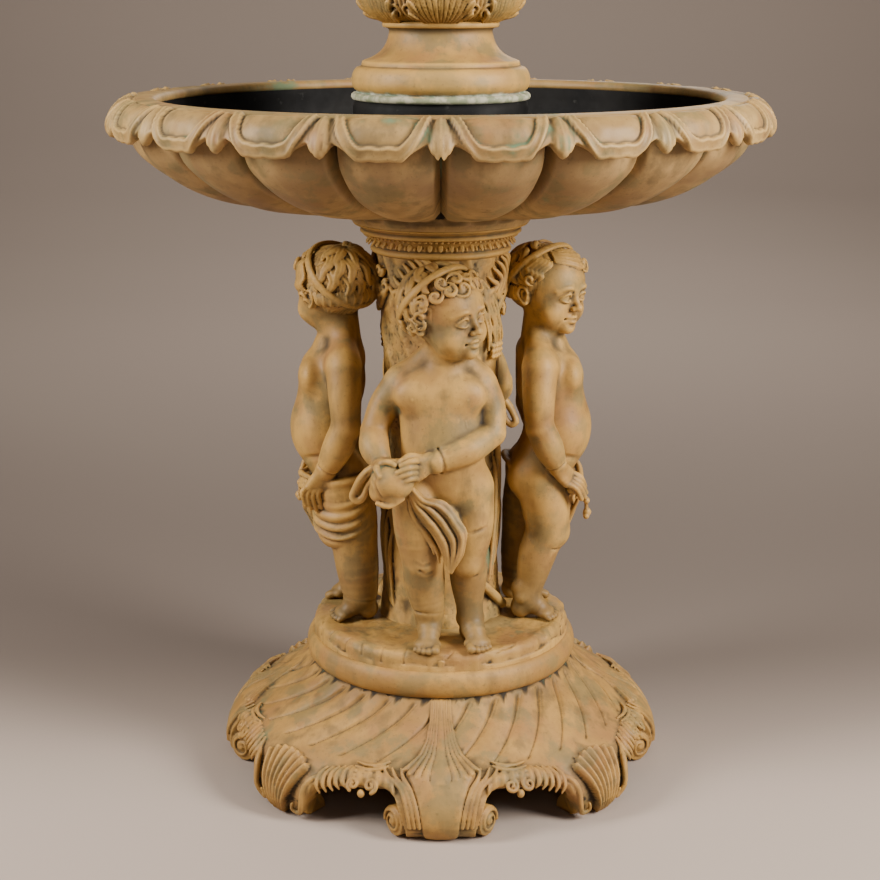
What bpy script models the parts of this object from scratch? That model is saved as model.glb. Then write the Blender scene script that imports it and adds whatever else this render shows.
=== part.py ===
# Garden fountain: a footed base, a rock with a tree-trunk column, four putti standing round it,
# a lobed basin with a hub, and a stem with a bud-shaped spout. Metres, +Z up, front towards -Y.
# The origin is on the floor, on the fountain's axis.
import math

import bmesh
import bpy
from mathutils import Matrix, Vector

GAP = 0.0003  # left between pieces that rest on or in each other

# Rock and trunk
ROCK_RISE = 0.031  # standing ground above the ring's top
TRUNK_RADIUS = 0.108
TRUNK_HEIGHT = 0.710
TRUNK_FLARE = 0.016  # the trunk's top is wider than its middle by this much all round
COLLAR_HEIGHT = 0.053
COLLAR_RADIUS = 0.166
TRUNK_SIDES = 20

# Putti
HEAD_ROOM = 0.018  # from the hair to the basin's seat
PUTTO_BACK = 0.088  # share of its height that a putto reaches behind its standing point
PUTTO_TOES = 0.086  # and in front of it
PUTTO_TRIANGLES = 770

# Footed base
FOOTHOLD = 0.009  # ring outside the toes
RING_HEIGHT = 0.056
RING_WALL = 0.013
SKIRT_HEIGHT = 0.205
SKIRT_SET_IN = 0.012  # the skirt's top is inside the ring by this much
SKIRT_SPREAD = 0.160  # the feet stand outside the ring by this much
ARCH_HEIGHT = 0.068
ARCH_SET_IN = 0.034  # the arches' edge is inside the feet by this much
FOOT_CURL = 0.058  # how deep a foot is, front to back
BASE_WALL = 0.014
DECK_DEPTH = 0.026
DECK_THICK = 0.028
FOOT_PAIRS = 4  # each pair is one scroll foot and one shell foot
SCROLL_FOOT_WIDTH = 0.172
SHELL_FOOT_WIDTH = 0.110
BASE_SIDES = 72

# Basin
BASIN_RADIUS = 0.600
BASIN_DEPTH = 0.229  # seat to the top of the lip
LIP_WIDTH = 0.084
LIP_DROP = 0.056  # height of the plain band inside the lip
RIM_HEIGHT = 0.056
RIM_OVERHANG = 0.035
LOBES = 20
LOBE_DEPTH = 0.032
BASIN_WALL = 0.012
HUB_RADIUS = 0.160
HUB_DROP = 0.007  # hub's top below the lip

# Stem
STEM_OVERHANG = 0.003  # the stem's foot is wider than the hub by this much
STEM_FOOT_HEIGHT = 0.138  # up to the leafy bulb
STEM_NECK_RADIUS = 0.094
BULB_RADIUS = 0.150
BULB_HEIGHT = 0.165
BUD_RADIUS = 0.082
BUD_HEIGHT = 0.150
NOZZLE_RADIUS = 0.011
STEM_SIDES = 20

PUTTO_HEIGHT = TRUNK_HEIGHT + COLLAR_HEIGHT - HEAD_ROOM
PUTTO_STAND = TRUNK_RADIUS + TRUNK_FLARE + PUTTO_HEIGHT * PUTTO_BACK
PUTTO_VOXEL = PUTTO_HEIGHT / 90.0
RING_RADIUS = PUTTO_STAND + PUTTO_HEIGHT * PUTTO_TOES + FOOTHOLD
SKIRT_TOP_RADIUS = RING_RADIUS - SKIRT_SET_IN
FOOT_RADIUS = RING_RADIUS + SKIRT_SPREAD
RING_TOP = SKIRT_HEIGHT + RING_HEIGHT
DECK_TOP = RING_TOP - DECK_DEPTH
GROUND = RING_TOP + ROCK_RISE
COLUMN_TOP = GROUND + TRUNK_HEIGHT + COLLAR_HEIGHT
SEAT = COLUMN_TOP + GAP
HUB_TOP = SEAT + BASIN_DEPTH - HUB_DROP
STEM_BOTTOM = HUB_TOP + GAP
STEM_FOOT_RADIUS = HUB_RADIUS + STEM_OVERHANG


def clear_scene():
    for obj in list(bpy.data.objects):
        bpy.data.objects.remove(obj)


def finish(name, colour, roughness, metallic):
    material = bpy.data.materials.new(name)
    material.use_nodes = True
    shader = material.node_tree.nodes["Principled BSDF"]
    shader.inputs["Base Color"].default_value = (*colour, 1.0)
    shader.inputs["Roughness"].default_value = roughness
    shader.inputs["Metallic"].default_value = metallic
    return material


def object_from(name, mesh_data, material):
    mesh = bpy.data.meshes.new(name)
    mesh_data.to_mesh(mesh)
    mesh_data.free()
    mesh.materials.append(material)
    obj = bpy.data.objects.new(name, mesh)
    bpy.context.scene.collection.objects.link(obj)
    return obj


def smooth_step(value):
    value = min(1.0, max(0.0, value))
    return value * value * (3.0 - 2.0 * value)


def between(a, b, share):
    return a + (b - a) * share


def turned(name, rows, sides, material, repeats=1):
    """A closed body of stacked rings. A row is (radius, z) or a function of the angle from the front.
    The first and last rows lie on the axis. Faces are split so that each repeat mirrors itself."""
    shape = bmesh.new()
    rings = []
    for row in rows[1:-1]:
        ring = []
        for side in range(sides):
            angle = 2.0 * math.pi * side / sides
            radius, z = row(angle) if callable(row) else row
            ring.append(shape.verts.new((radius * math.sin(angle), -radius * math.cos(angle), z)))
        rings.append(ring)
    ends = [shape.verts.new((0.0, 0.0, rows[0][1])), shape.verts.new((0.0, 0.0, rows[-1][1]))]
    steps = sides // repeats
    for side in range(sides):
        after = (side + 1) % sides
        rising = (side % steps) * 2 < steps
        shape.faces.new((ends[0], rings[0][side], rings[0][after]))
        for low, high in zip(rings, rings[1:]):
            corners = (low[side], high[side], high[after], low[after])
            if rising:
                corners = (high[side], high[after], low[after], low[side])
            shape.faces.new(corners[:3])
            shape.faces.new((corners[0], corners[2], corners[3]))
        shape.faces.new((ends[1], rings[-1][after], rings[-1][side]))
    bmesh.ops.recalc_face_normals(shape, faces=shape.faces)
    for face in shape.faces:
        face.smooth = True
    obj = object_from(name, shape, material)
    obj.data.set_sharp_from_angle(angle=math.radians(30))
    return obj


# Footed base

def foot_share(angle, half_width, first_angle, count):
    """1 on the middle of a foot, 0 in the arches beside it."""
    pitch = 2.0 * math.pi / count
    off = abs((angle - first_angle + pitch / 2.0) % pitch - pitch / 2.0)
    half_angle = half_width / FOOT_RADIUS
    return smooth_step((half_angle * 1.15 - off) / (half_angle * 0.25))


def base_edge_row(foot, arch):
    """A ring that follows the foot's profile at the feet and the arch's profile between them."""
    def row(angle):
        scroll = foot_share(angle, SCROLL_FOOT_WIDTH / 2.0, 0.0, FOOT_PAIRS)
        shell = foot_share(angle, SHELL_FOOT_WIDTH / 2.0, math.pi / FOOT_PAIRS, FOOT_PAIRS)
        share = max(scroll, shell)
        return between(arch[0], foot[0], share), between(arch[1], foot[1], share)
    return row


def footed_base(material):
    ring_inner = RING_RADIUS - RING_WALL
    deck_under = DECK_TOP - DECK_THICK

    def ring(share_in, share_up):
        return RING_RADIUS - RING_WALL * share_in, SKIRT_HEIGHT + RING_HEIGHT * share_up

    def skirt(share_out, share_up, wall=0.0):
        radius = between(SKIRT_TOP_RADIUS, FOOT_RADIUS, share_out)
        return radius - wall * 0.6, SKIRT_HEIGHT * share_up - wall

    def foot(share_in, share_up):
        return FOOT_RADIUS - FOOT_CURL * share_in, ARCH_HEIGHT * share_up

    def arch(share_in, share_up):
        return FOOT_RADIUS - ARCH_SET_IN + BASE_WALL * (0.6 - share_in), ARCH_HEIGHT + BASE_WALL * share_up

    rows = [
        (0.0, DECK_TOP),
        (ring_inner, DECK_TOP),
        (ring_inner, RING_TOP),
        ring(0.3, 1.0),
        ring(0.0, 0.65),
        ring(0.0, 0.3),
        skirt(0.0, 0.965),
        skirt(0.285, 0.800),
        skirt(0.61, 0.620),
        base_edge_row(skirt(0.80, 0.505), skirt(0.775, 0.505)),
        base_edge_row(foot(0.17, 1.15), arch(0.0, 1.0)),
        base_edge_row(foot(0.0, 0.68), arch(0.1, 0.15)),
        base_edge_row(foot(0.2, 0.18), arch(0.5, 0.0)),
        base_edge_row(foot(0.5, 0.0), arch(0.8, 0.05)),
        base_edge_row(foot(0.9, 0.0), arch(1.1, 0.2)),
        base_edge_row(foot(1.0, 0.5), arch(1.4, 0.7)),
        skirt(0.61, 0.620, BASE_WALL),
        (SKIRT_TOP_RADIUS - BASE_WALL, deck_under),
        (0.0, deck_under),
    ]
    return turned("footed_base", rows, BASE_SIDES, material, FOOT_PAIRS)


# Rock and trunk

def rock_and_trunk(material):
    rock = RING_RADIUS - RING_WALL - GAP
    foot_of_rock = DECK_TOP + GAP
    trunk_top = GROUND + TRUNK_HEIGHT

    def rock_edge(share_rise, depth):
        """The rock's rough rim, which bulges and sinks a little on its way round."""
        def row(angle):
            wave = math.sin(3.0 * angle + 0.7) + 0.6 * math.sin(7.0 * angle) + 0.4 * math.sin(11.0 * angle + 2.0)
            return rock - ROCK_RISE * depth * (1.0 + wave / 2.5), RING_TOP + ROCK_RISE * share_rise
        return row

    def trunk(share_flare, share_up):
        return TRUNK_RADIUS + TRUNK_FLARE * share_flare, GROUND + TRUNK_HEIGHT * share_up

    def collar(share_out, share_up):
        inner = TRUNK_RADIUS + TRUNK_FLARE
        return between(inner, COLLAR_RADIUS, share_out), trunk_top + COLLAR_HEIGHT * share_up

    rows = [
        (0.0, foot_of_rock),
        (rock, foot_of_rock),
        (rock, RING_TOP),
        rock_edge(0.4, 0.05),
        rock_edge(0.85, 0.12),
        rock_edge(1.0, 0.27),
        trunk(0.9, 0.0),
        trunk(0.35, 0.06),
        trunk(0.0, 0.20),
        trunk(-0.15, 0.45),
        trunk(0.1, 0.72),
        trunk(0.6, 0.92),
        trunk(1.0, 1.0),
        collar(0.42, 0.64),
        collar(0.48, 0.72),
        collar(0.88, 0.86),
        collar(1.0, 0.95),
        collar(1.0, 1.0),
        (0.0, COLUMN_TOP),
    ]
    return turned("rock_and_trunk", rows, TRUNK_SIDES, material)


# Putti. Every number below is a share of the putto's own height: x to its left hand side as the
# viewer faces it, y backwards from the standing point, z up from the soles. Round limbs are
# (start, start radius, end, end radius), round masses are (centre, half sizes).

HEAD = (0.091, 0.103, 0.110)

FRONT_LIMBS = [
    ((-0.098, 0.010, 0.668), 0.046, (0.090, 0.010, 0.668), 0.046),  # shoulder girdle
    ((0.008, 0.000, 0.690), 0.050, (0.012, 0.000, 0.775), 0.048),  # neck
    ((-0.122, 0.007, 0.660), 0.044, (-0.165, -0.010, 0.553), 0.036),  # right arm
    ((-0.165, -0.010, 0.550), 0.037, (-0.145, -0.078, 0.490), 0.030),
    ((0.112, 0.007, 0.660), 0.044, (0.123, -0.018, 0.553), 0.038),  # left arm
    ((0.120, -0.022, 0.548), 0.038, (-0.018, -0.100, 0.492), 0.030),
    ((-0.021, -0.102, 0.494), 0.030, (-0.085, -0.128, 0.492), 0.026),
    ((-0.036, 0.005, 0.380), 0.066, (-0.042, -0.018, 0.228), 0.045),  # right leg
    ((-0.042, -0.018, 0.225), 0.043, (-0.030, -0.004, 0.075), 0.030),
    ((0.066, 0.007, 0.383), 0.064, (0.064, 0.000, 0.215), 0.043),  # left leg
    ((0.064, 0.000, 0.215), 0.042, (0.070, 0.012, 0.075), 0.030),
    ((-0.028, 0.010, 0.030), 0.032, (-0.034, -0.058, 0.022), 0.027),  # feet
    ((0.070, 0.022, 0.030), 0.032, (0.094, -0.052, 0.022), 0.027),
    ((-0.119, -0.118, 0.462), 0.044, (-0.112, -0.112, 0.448), 0.040),  # wrapped bundle
    ((-0.150, -0.100, 0.480), 0.014, (-0.200, -0.096, 0.430), 0.014),  # hanging end
]
FRONT_MASSES = [
    ((0.000, -0.002, 0.625), (0.104, 0.080, 0.088)),  # chest
    ((0.003, -0.012, 0.515), (0.100, 0.088, 0.105)),  # belly
    ((0.016, 0.004, 0.415), (0.104, 0.082, 0.075)),  # hips
    ((-0.030, 0.032, 0.390), (0.056, 0.052, 0.056)),
    ((0.062, 0.032, 0.390), (0.056, 0.052, 0.056)),
    ((0.012, -0.014, 0.868), HEAD),  # head
    ((0.000, -0.006, 0.900), (0.108, 0.092, 0.092)),  # hair
]
FRONT_CLOTH = [
    [(-0.070, -0.104, 0.440), (-0.082, -0.100, 0.410), (0.010, -0.076, 0.385), (0.000, -0.086, 0.300)],
    [(0.010, -0.076, 0.385), (0.058, -0.072, 0.320), (0.022, -0.066, 0.210), (-0.012, -0.080, 0.290)],
]

SIDE_LIMBS = [
    ((-0.085, 0.008, 0.672), 0.048, (0.085, 0.008, 0.672), 0.048),
    ((0.000, 0.002, 0.690), 0.050, (0.000, -0.004, 0.775), 0.048),
    ((-0.108, 0.010, 0.665), 0.044, (-0.122, 0.014, 0.530), 0.036),
    ((-0.122, 0.012, 0.530), 0.036, (-0.104, -0.036, 0.425), 0.029),
    ((-0.104, -0.038, 0.422), 0.026, (-0.088, -0.100, 0.345), 0.020),
    ((0.108, 0.010, 0.665), 0.044, (0.122, 0.018, 0.530), 0.036),
    ((0.122, 0.016, 0.530), 0.036, (0.104, -0.034, 0.412), 0.029),
    ((0.104, -0.036, 0.410), 0.026, (0.090, -0.060, 0.315), 0.022),
    ((-0.050, 0.010, 0.375), 0.066, (-0.055, -0.044, 0.228), 0.045),
    ((-0.055, -0.042, 0.225), 0.043, (-0.060, 0.026, 0.072), 0.030),
    ((0.050, 0.012, 0.375), 0.068, (0.052, 0.026, 0.225), 0.054),
    ((0.052, 0.028, 0.225), 0.056, (0.054, 0.034, 0.075), 0.046),
    ((-0.060, 0.030, 0.030), 0.032, (-0.066, -0.058, 0.022), 0.027),
    ((0.054, 0.038, 0.032), 0.034, (0.062, -0.058, 0.022), 0.027),
    ((0.052, -0.010, 0.330), 0.066, (0.054, 0.000, 0.290), 0.064),  # folds round the thigh
]
SIDE_MASSES = [
    ((0.000, -0.012, 0.625), (0.100, 0.086, 0.088)),
    ((0.000, -0.034, 0.500), (0.096, 0.088, 0.110)),
    ((0.000, -0.004, 0.415), (0.100, 0.082, 0.075)),
    ((-0.046, 0.030, 0.385), (0.056, 0.052, 0.056)),
    ((0.046, 0.030, 0.385), (0.056, 0.052, 0.056)),
    ((0.000, -0.022, 0.868), HEAD),
    ((0.002, -0.012, 0.900), (0.098, 0.096, 0.096)),
]
SIDE_CLOTH = [
    [(0.020, -0.086, 0.400), (0.076, -0.070, 0.380), (0.030, -0.078, 0.250), (-0.010, -0.084, 0.330)],
]
CLOTH_THICK = 0.011


def ball_directions(detail):
    ball = bmesh.new()
    bmesh.ops.create_icosphere(ball, subdivisions=detail, radius=1.0)
    directions = [vert.co.copy() for vert in ball.verts]
    ball.free()
    return directions


def add_hull(shape, balls, directions):
    """The smallest convex body round some balls, such as a limb that tapers."""
    verts = [shape.verts.new(centre + way * radius) for centre, radius in balls for way in directions]
    made = bmesh.ops.convex_hull(shape, input=verts)
    spare = [vert for vert in verts if not vert.link_faces]
    bmesh.ops.delete(shape, geom=spare, context="VERTS")
    return made


def add_mass(shape, centre, half_sizes):
    place = Matrix.Translation(centre) @ Matrix.Diagonal((*half_sizes, 1.0))
    bmesh.ops.create_icosphere(shape, subdivisions=3, radius=1.0, matrix=place)


def putto_mesh(name, limbs, masses, cloth, material):
    """The rough body: overlapping limbs and masses, fused and thinned by the modifiers."""
    shape = bmesh.new()
    height = PUTTO_HEIGHT
    directions = ball_directions(2)
    for start, start_radius, end, end_radius in limbs:
        ends = [(Vector(start) * height, start_radius * height), (Vector(end) * height, end_radius * height)]
        add_hull(shape, ends, directions)
    for corners in cloth:
        add_hull(shape, [(Vector(corner) * height, CLOTH_THICK * height) for corner in corners], directions)
    for centre, half_sizes in masses:
        add_mass(shape, Vector(centre) * height, Vector(half_sizes) * height)
    obj = object_from(name, shape, material)
    fuse = obj.modifiers.new("fuse", "REMESH")
    fuse.mode = "VOXEL"
    fuse.voxel_size = PUTTO_VOXEL
    fuse.use_smooth_shade = True
    soften = obj.modifiers.new("soften", "SMOOTH")
    soften.factor = 0.5
    soften.iterations = 2
    evaluated = obj.evaluated_get(bpy.context.evaluated_depsgraph_get())
    count = sum(len(face.vertices) - 2 for face in evaluated.data.polygons)
    thin = obj.modifiers.new("thin", "DECIMATE")
    thin.ratio = PUTTO_TRIANGLES / count
    return obj


def sole_cutter():
    """A block below the standing ground, which cuts the soles flat."""
    shape = bmesh.new()
    bmesh.ops.create_cube(shape, size=PUTTO_HEIGHT)
    obj = object_from("sole_cutter", shape, None)
    obj.location = (0.0, 0.0, -PUTTO_HEIGHT / 2.0)
    obj.hide_render = True
    obj.display_type = "WIRE"
    return obj


def stand_putto(obj, name, turn, cutter):
    """Places one putto on the ground at its turn round the trunk, with flat soles."""
    obj.name = name
    spin = Matrix.Rotation(turn, 4, "Z")
    obj.location = spin @ Vector((0.0, -PUTTO_STAND, GROUND + GAP))
    obj.rotation_euler = (0.0, 0.0, turn)
    cutter.parent = obj
    flat = obj.modifiers.new("flat_soles", "BOOLEAN")
    flat.operation = "DIFFERENCE"
    flat.object = cutter
    return obj


def putti(material):
    places = [
        ("putto_front", 0.0, FRONT_LIMBS, FRONT_MASSES, FRONT_CLOTH),
        ("putto_right", math.pi / 2.0, SIDE_LIMBS, SIDE_MASSES, SIDE_CLOTH),
        ("putto_back", math.pi, FRONT_LIMBS, FRONT_MASSES, FRONT_CLOTH),
        ("putto_left", -math.pi / 2.0, SIDE_LIMBS, SIDE_MASSES, SIDE_CLOTH),
    ]
    for name, turn, limbs, masses, cloth in places:
        obj = putto_mesh(name, limbs, masses, cloth, material)
        stand_putto(obj, name, turn, sole_cutter())


# Basin

BOWL_PROFILE = [  # shares of the way from the seat to the rim, and of the bowl's depth
    (0.12, 0.030),
    (0.356, 0.125),
    (0.667, 0.316),
    (0.828, 0.500),
    (0.952, 0.732),
]


def basin(material):
    seat_radius = COLLAR_RADIUS + STEM_OVERHANG
    under_rim = BASIN_RADIUS - RIM_OVERHANG
    lip_top = SEAT + BASIN_DEPTH
    rim_foot = lip_top - RIM_HEIGHT
    bowl_depth = rim_foot - SEAT
    lip_inner = BASIN_RADIUS - LIP_WIDTH

    def lobed(share_out, share_up, wall=0.0):
        """A ring of the lobed bowl: the outside, or the inside at a wall's distance."""
        fade = math.sin(math.pi * min(1.0, share_out * 1.6) / 2.0)
        radius = between(seat_radius, under_rim, share_out)
        steep = share_out ** 3

        def row(angle):
            across = abs(math.sin(LOBES * angle / 2.0))  # 0 in a groove, 1 on a lobe
            back = LOBE_DEPTH * fade * (1.0 - math.sqrt(across)) + wall
            return radius - back * (0.3 + 0.7 * steep), SEAT + bowl_depth * share_up + back * (1.0 - 0.8 * steep)
        return row

    def rim(share_in, share_up, dip=0.0):
        """A ring of the rim, whose lower edge dips under the middle of each lobe."""
        def row(angle):
            across = abs(math.sin(LOBES * angle / 2.0))
            return BASIN_RADIUS - LIP_WIDTH * share_in, rim_foot + RIM_HEIGHT * (share_up - dip * across)
        return row

    inside = [lobed(out, up, BASIN_WALL) for out, up in reversed(BOWL_PROFILE[1:4])]
    rows = [
        (0.0, SEAT),
        (seat_radius, SEAT),
        *[lobed(out, up) for out, up in BOWL_PROFILE],
        rim(0.21, 0.10, 0.25),
        rim(0.0, 0.40, 0.12),
        rim(0.15, 0.76),
        rim(0.45, 0.96),
        rim(0.98, 1.0),
        (lip_inner, lip_top - LIP_DROP),
        *inside,
        (HUB_RADIUS, SEAT + bowl_depth * 0.1 + BASIN_WALL),
        (HUB_RADIUS, HUB_TOP),
        (0.0, HUB_TOP),
    ]
    return turned("basin", rows, LOBES * 4, material, LOBES)


# Stem

def stem(material):
    bulb = STEM_BOTTOM + STEM_FOOT_HEIGHT
    bud = bulb + BULB_HEIGHT

    def foot(share_out, share_up):
        return between(STEM_NECK_RADIUS, STEM_FOOT_RADIUS, share_out), STEM_BOTTOM + STEM_FOOT_HEIGHT * share_up

    def at_bulb(share_radius, share_up):
        return BULB_RADIUS * share_radius, bulb + BULB_HEIGHT * share_up

    def at_bud(share_radius, share_up):
        return BUD_RADIUS * share_radius, bud + BUD_HEIGHT * share_up

    rows = [
        (0.0, STEM_BOTTOM),
        foot(1.0, 0.0),
        foot(1.0, 0.075),
        foot(0.91, 0.10),
        foot(0.985, 0.25),
        foot(0.94, 0.36),
        foot(0.74, 0.44),
        foot(0.72, 0.49),
        foot(0.32, 0.58),
        foot(0.04, 0.72),
        foot(0.0, 0.84),
        foot(0.06, 0.92),
        foot(0.17, 0.93),
        foot(0.17, 1.0),
        at_bulb(0.78, 0.05),
        at_bulb(0.93, 0.18),
        at_bulb(1.0, 0.40),
        at_bulb(0.95, 0.64),
        at_bulb(0.76, 0.84),
        at_bulb(0.46, 0.98),
        at_bud(0.72, 0.06),
        at_bud(0.72, 0.13),
        at_bud(0.52, 0.22),
        at_bud(0.92, 0.38),
        at_bud(1.0, 0.54),
        at_bud(0.80, 0.72),
        at_bud(0.38, 0.88),
        (NOZZLE_RADIUS, bud + BUD_HEIGHT * 0.95),
        (NOZZLE_RADIUS, bud + BUD_HEIGHT),
        (0.0, bud + BUD_HEIGHT),
    ]
    return turned("stem", rows, STEM_SIDES, material)


def main():
    clear_scene()
    stone_patina = finish("stone_patina", (0.47, 0.33, 0.16), 0.62, 0.0)
    figure_patina = finish("figure_patina", (0.45, 0.31, 0.15), 0.55, 0.0)
    footed_base(stone_patina)
    rock_and_trunk(stone_patina)
    putti(figure_patina)
    basin(stone_patina)
    stem(stone_patina)


main()
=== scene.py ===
import math
import random

import bpy
import numpy as np
from mathutils import Matrix, Vector


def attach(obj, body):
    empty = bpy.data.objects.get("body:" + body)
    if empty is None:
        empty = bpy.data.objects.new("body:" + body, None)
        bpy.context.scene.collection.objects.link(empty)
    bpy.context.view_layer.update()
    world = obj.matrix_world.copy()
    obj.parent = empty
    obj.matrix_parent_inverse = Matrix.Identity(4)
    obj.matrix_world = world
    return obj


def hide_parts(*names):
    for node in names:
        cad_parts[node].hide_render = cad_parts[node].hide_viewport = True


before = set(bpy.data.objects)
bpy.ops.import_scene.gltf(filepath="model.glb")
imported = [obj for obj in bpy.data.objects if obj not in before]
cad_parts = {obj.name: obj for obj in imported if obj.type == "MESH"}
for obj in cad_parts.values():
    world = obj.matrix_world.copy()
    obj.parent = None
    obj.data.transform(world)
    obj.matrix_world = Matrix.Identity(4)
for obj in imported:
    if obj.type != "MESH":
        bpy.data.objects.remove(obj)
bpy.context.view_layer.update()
millimetre = 0.001  # the sizes are in millimetres, and Blender's unit is the metre


def smoothMin(a, b, blend):
    if blend <= 0.0:
        return np.minimum(a, b)
    near = np.maximum(blend - np.abs(a - b), 0.0) / blend
    return np.minimum(a, b) - near * near * (blend * 0.25)


# A shape is the low and high corner of its box and a function that gives the distance to its surface.

def ball(centre, sizes):
    centre = np.array(centre, dtype=np.float32)
    sizes = np.ones(3, dtype=np.float32) * np.array(sizes, dtype=np.float32)

    def distance(x, y, z):
        x, y, z = (x - centre[0]) / sizes[0], (y - centre[1]) / sizes[1], (z - centre[2]) / sizes[2]
        away = np.sqrt(x * x + y * y + z * z) + 1e-6
        x, y, z = x / sizes[0], y / sizes[1], z / sizes[2]
        return away * (away - 1.0) / (np.sqrt(x * x + y * y + z * z) + 1e-6)
    return centre - sizes, centre + sizes, distance


def path(points, radii):
    points = np.array(points, dtype=np.float32)
    radii = np.ones(len(points), dtype=np.float32) * np.array(radii, dtype=np.float32)

    def distance(x, y, z):
        best = None
        for a, b, ra, rb in zip(points, points[1:], radii, radii[1:]):
            along = b - a
            square = float(along @ along) + 1e-9
            dx, dy, dz = x - a[0], y - a[1], z - a[2]
            share = np.clip((dx * along[0] + dy * along[1] + dz * along[2]) / square, 0.0, 1.0)
            dx = dx - share * along[0]
            dy = dy - share * along[1]
            dz = dz - share * along[2]
            here = np.sqrt(dx * dx + dy * dy + dz * dz) - (ra + (rb - ra) * share)
            best = here if best is None else np.minimum(best, here)
        return best
    reach = radii.max()
    return points.min(axis=0) - reach, points.max(axis=0) + reach, distance


def curve(points, count):
    # a smooth line through the points
    points = np.array(points, dtype=float)
    padded = np.vstack([2 * points[0] - points[1], points, 2 * points[-1] - points[-2]])
    places = np.linspace(0.0, len(points) - 1.0001, count)
    part = places.astype(int)
    t = (places - part)[:, None]
    a, b, c, d = (padded[part + i] for i in range(4))
    square, cube = 2 * a - 5 * b + 4 * c - d, 3 * b - a - 3 * c + d
    return 0.5 * (2 * b + (c - a) * t + square * t * t + cube * t ** 3)


def strand(points, radii, count=9):
    # a rounded strand along a smooth line; the radii are spread evenly along it
    spread = np.interp(np.linspace(0, 1, len(points)), np.linspace(0, 1, len(radii)), radii)
    line = curve([(*point, size) for point, size in zip(points, spread)], count)
    return path(line[:, :3], line[:, 3])


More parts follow.
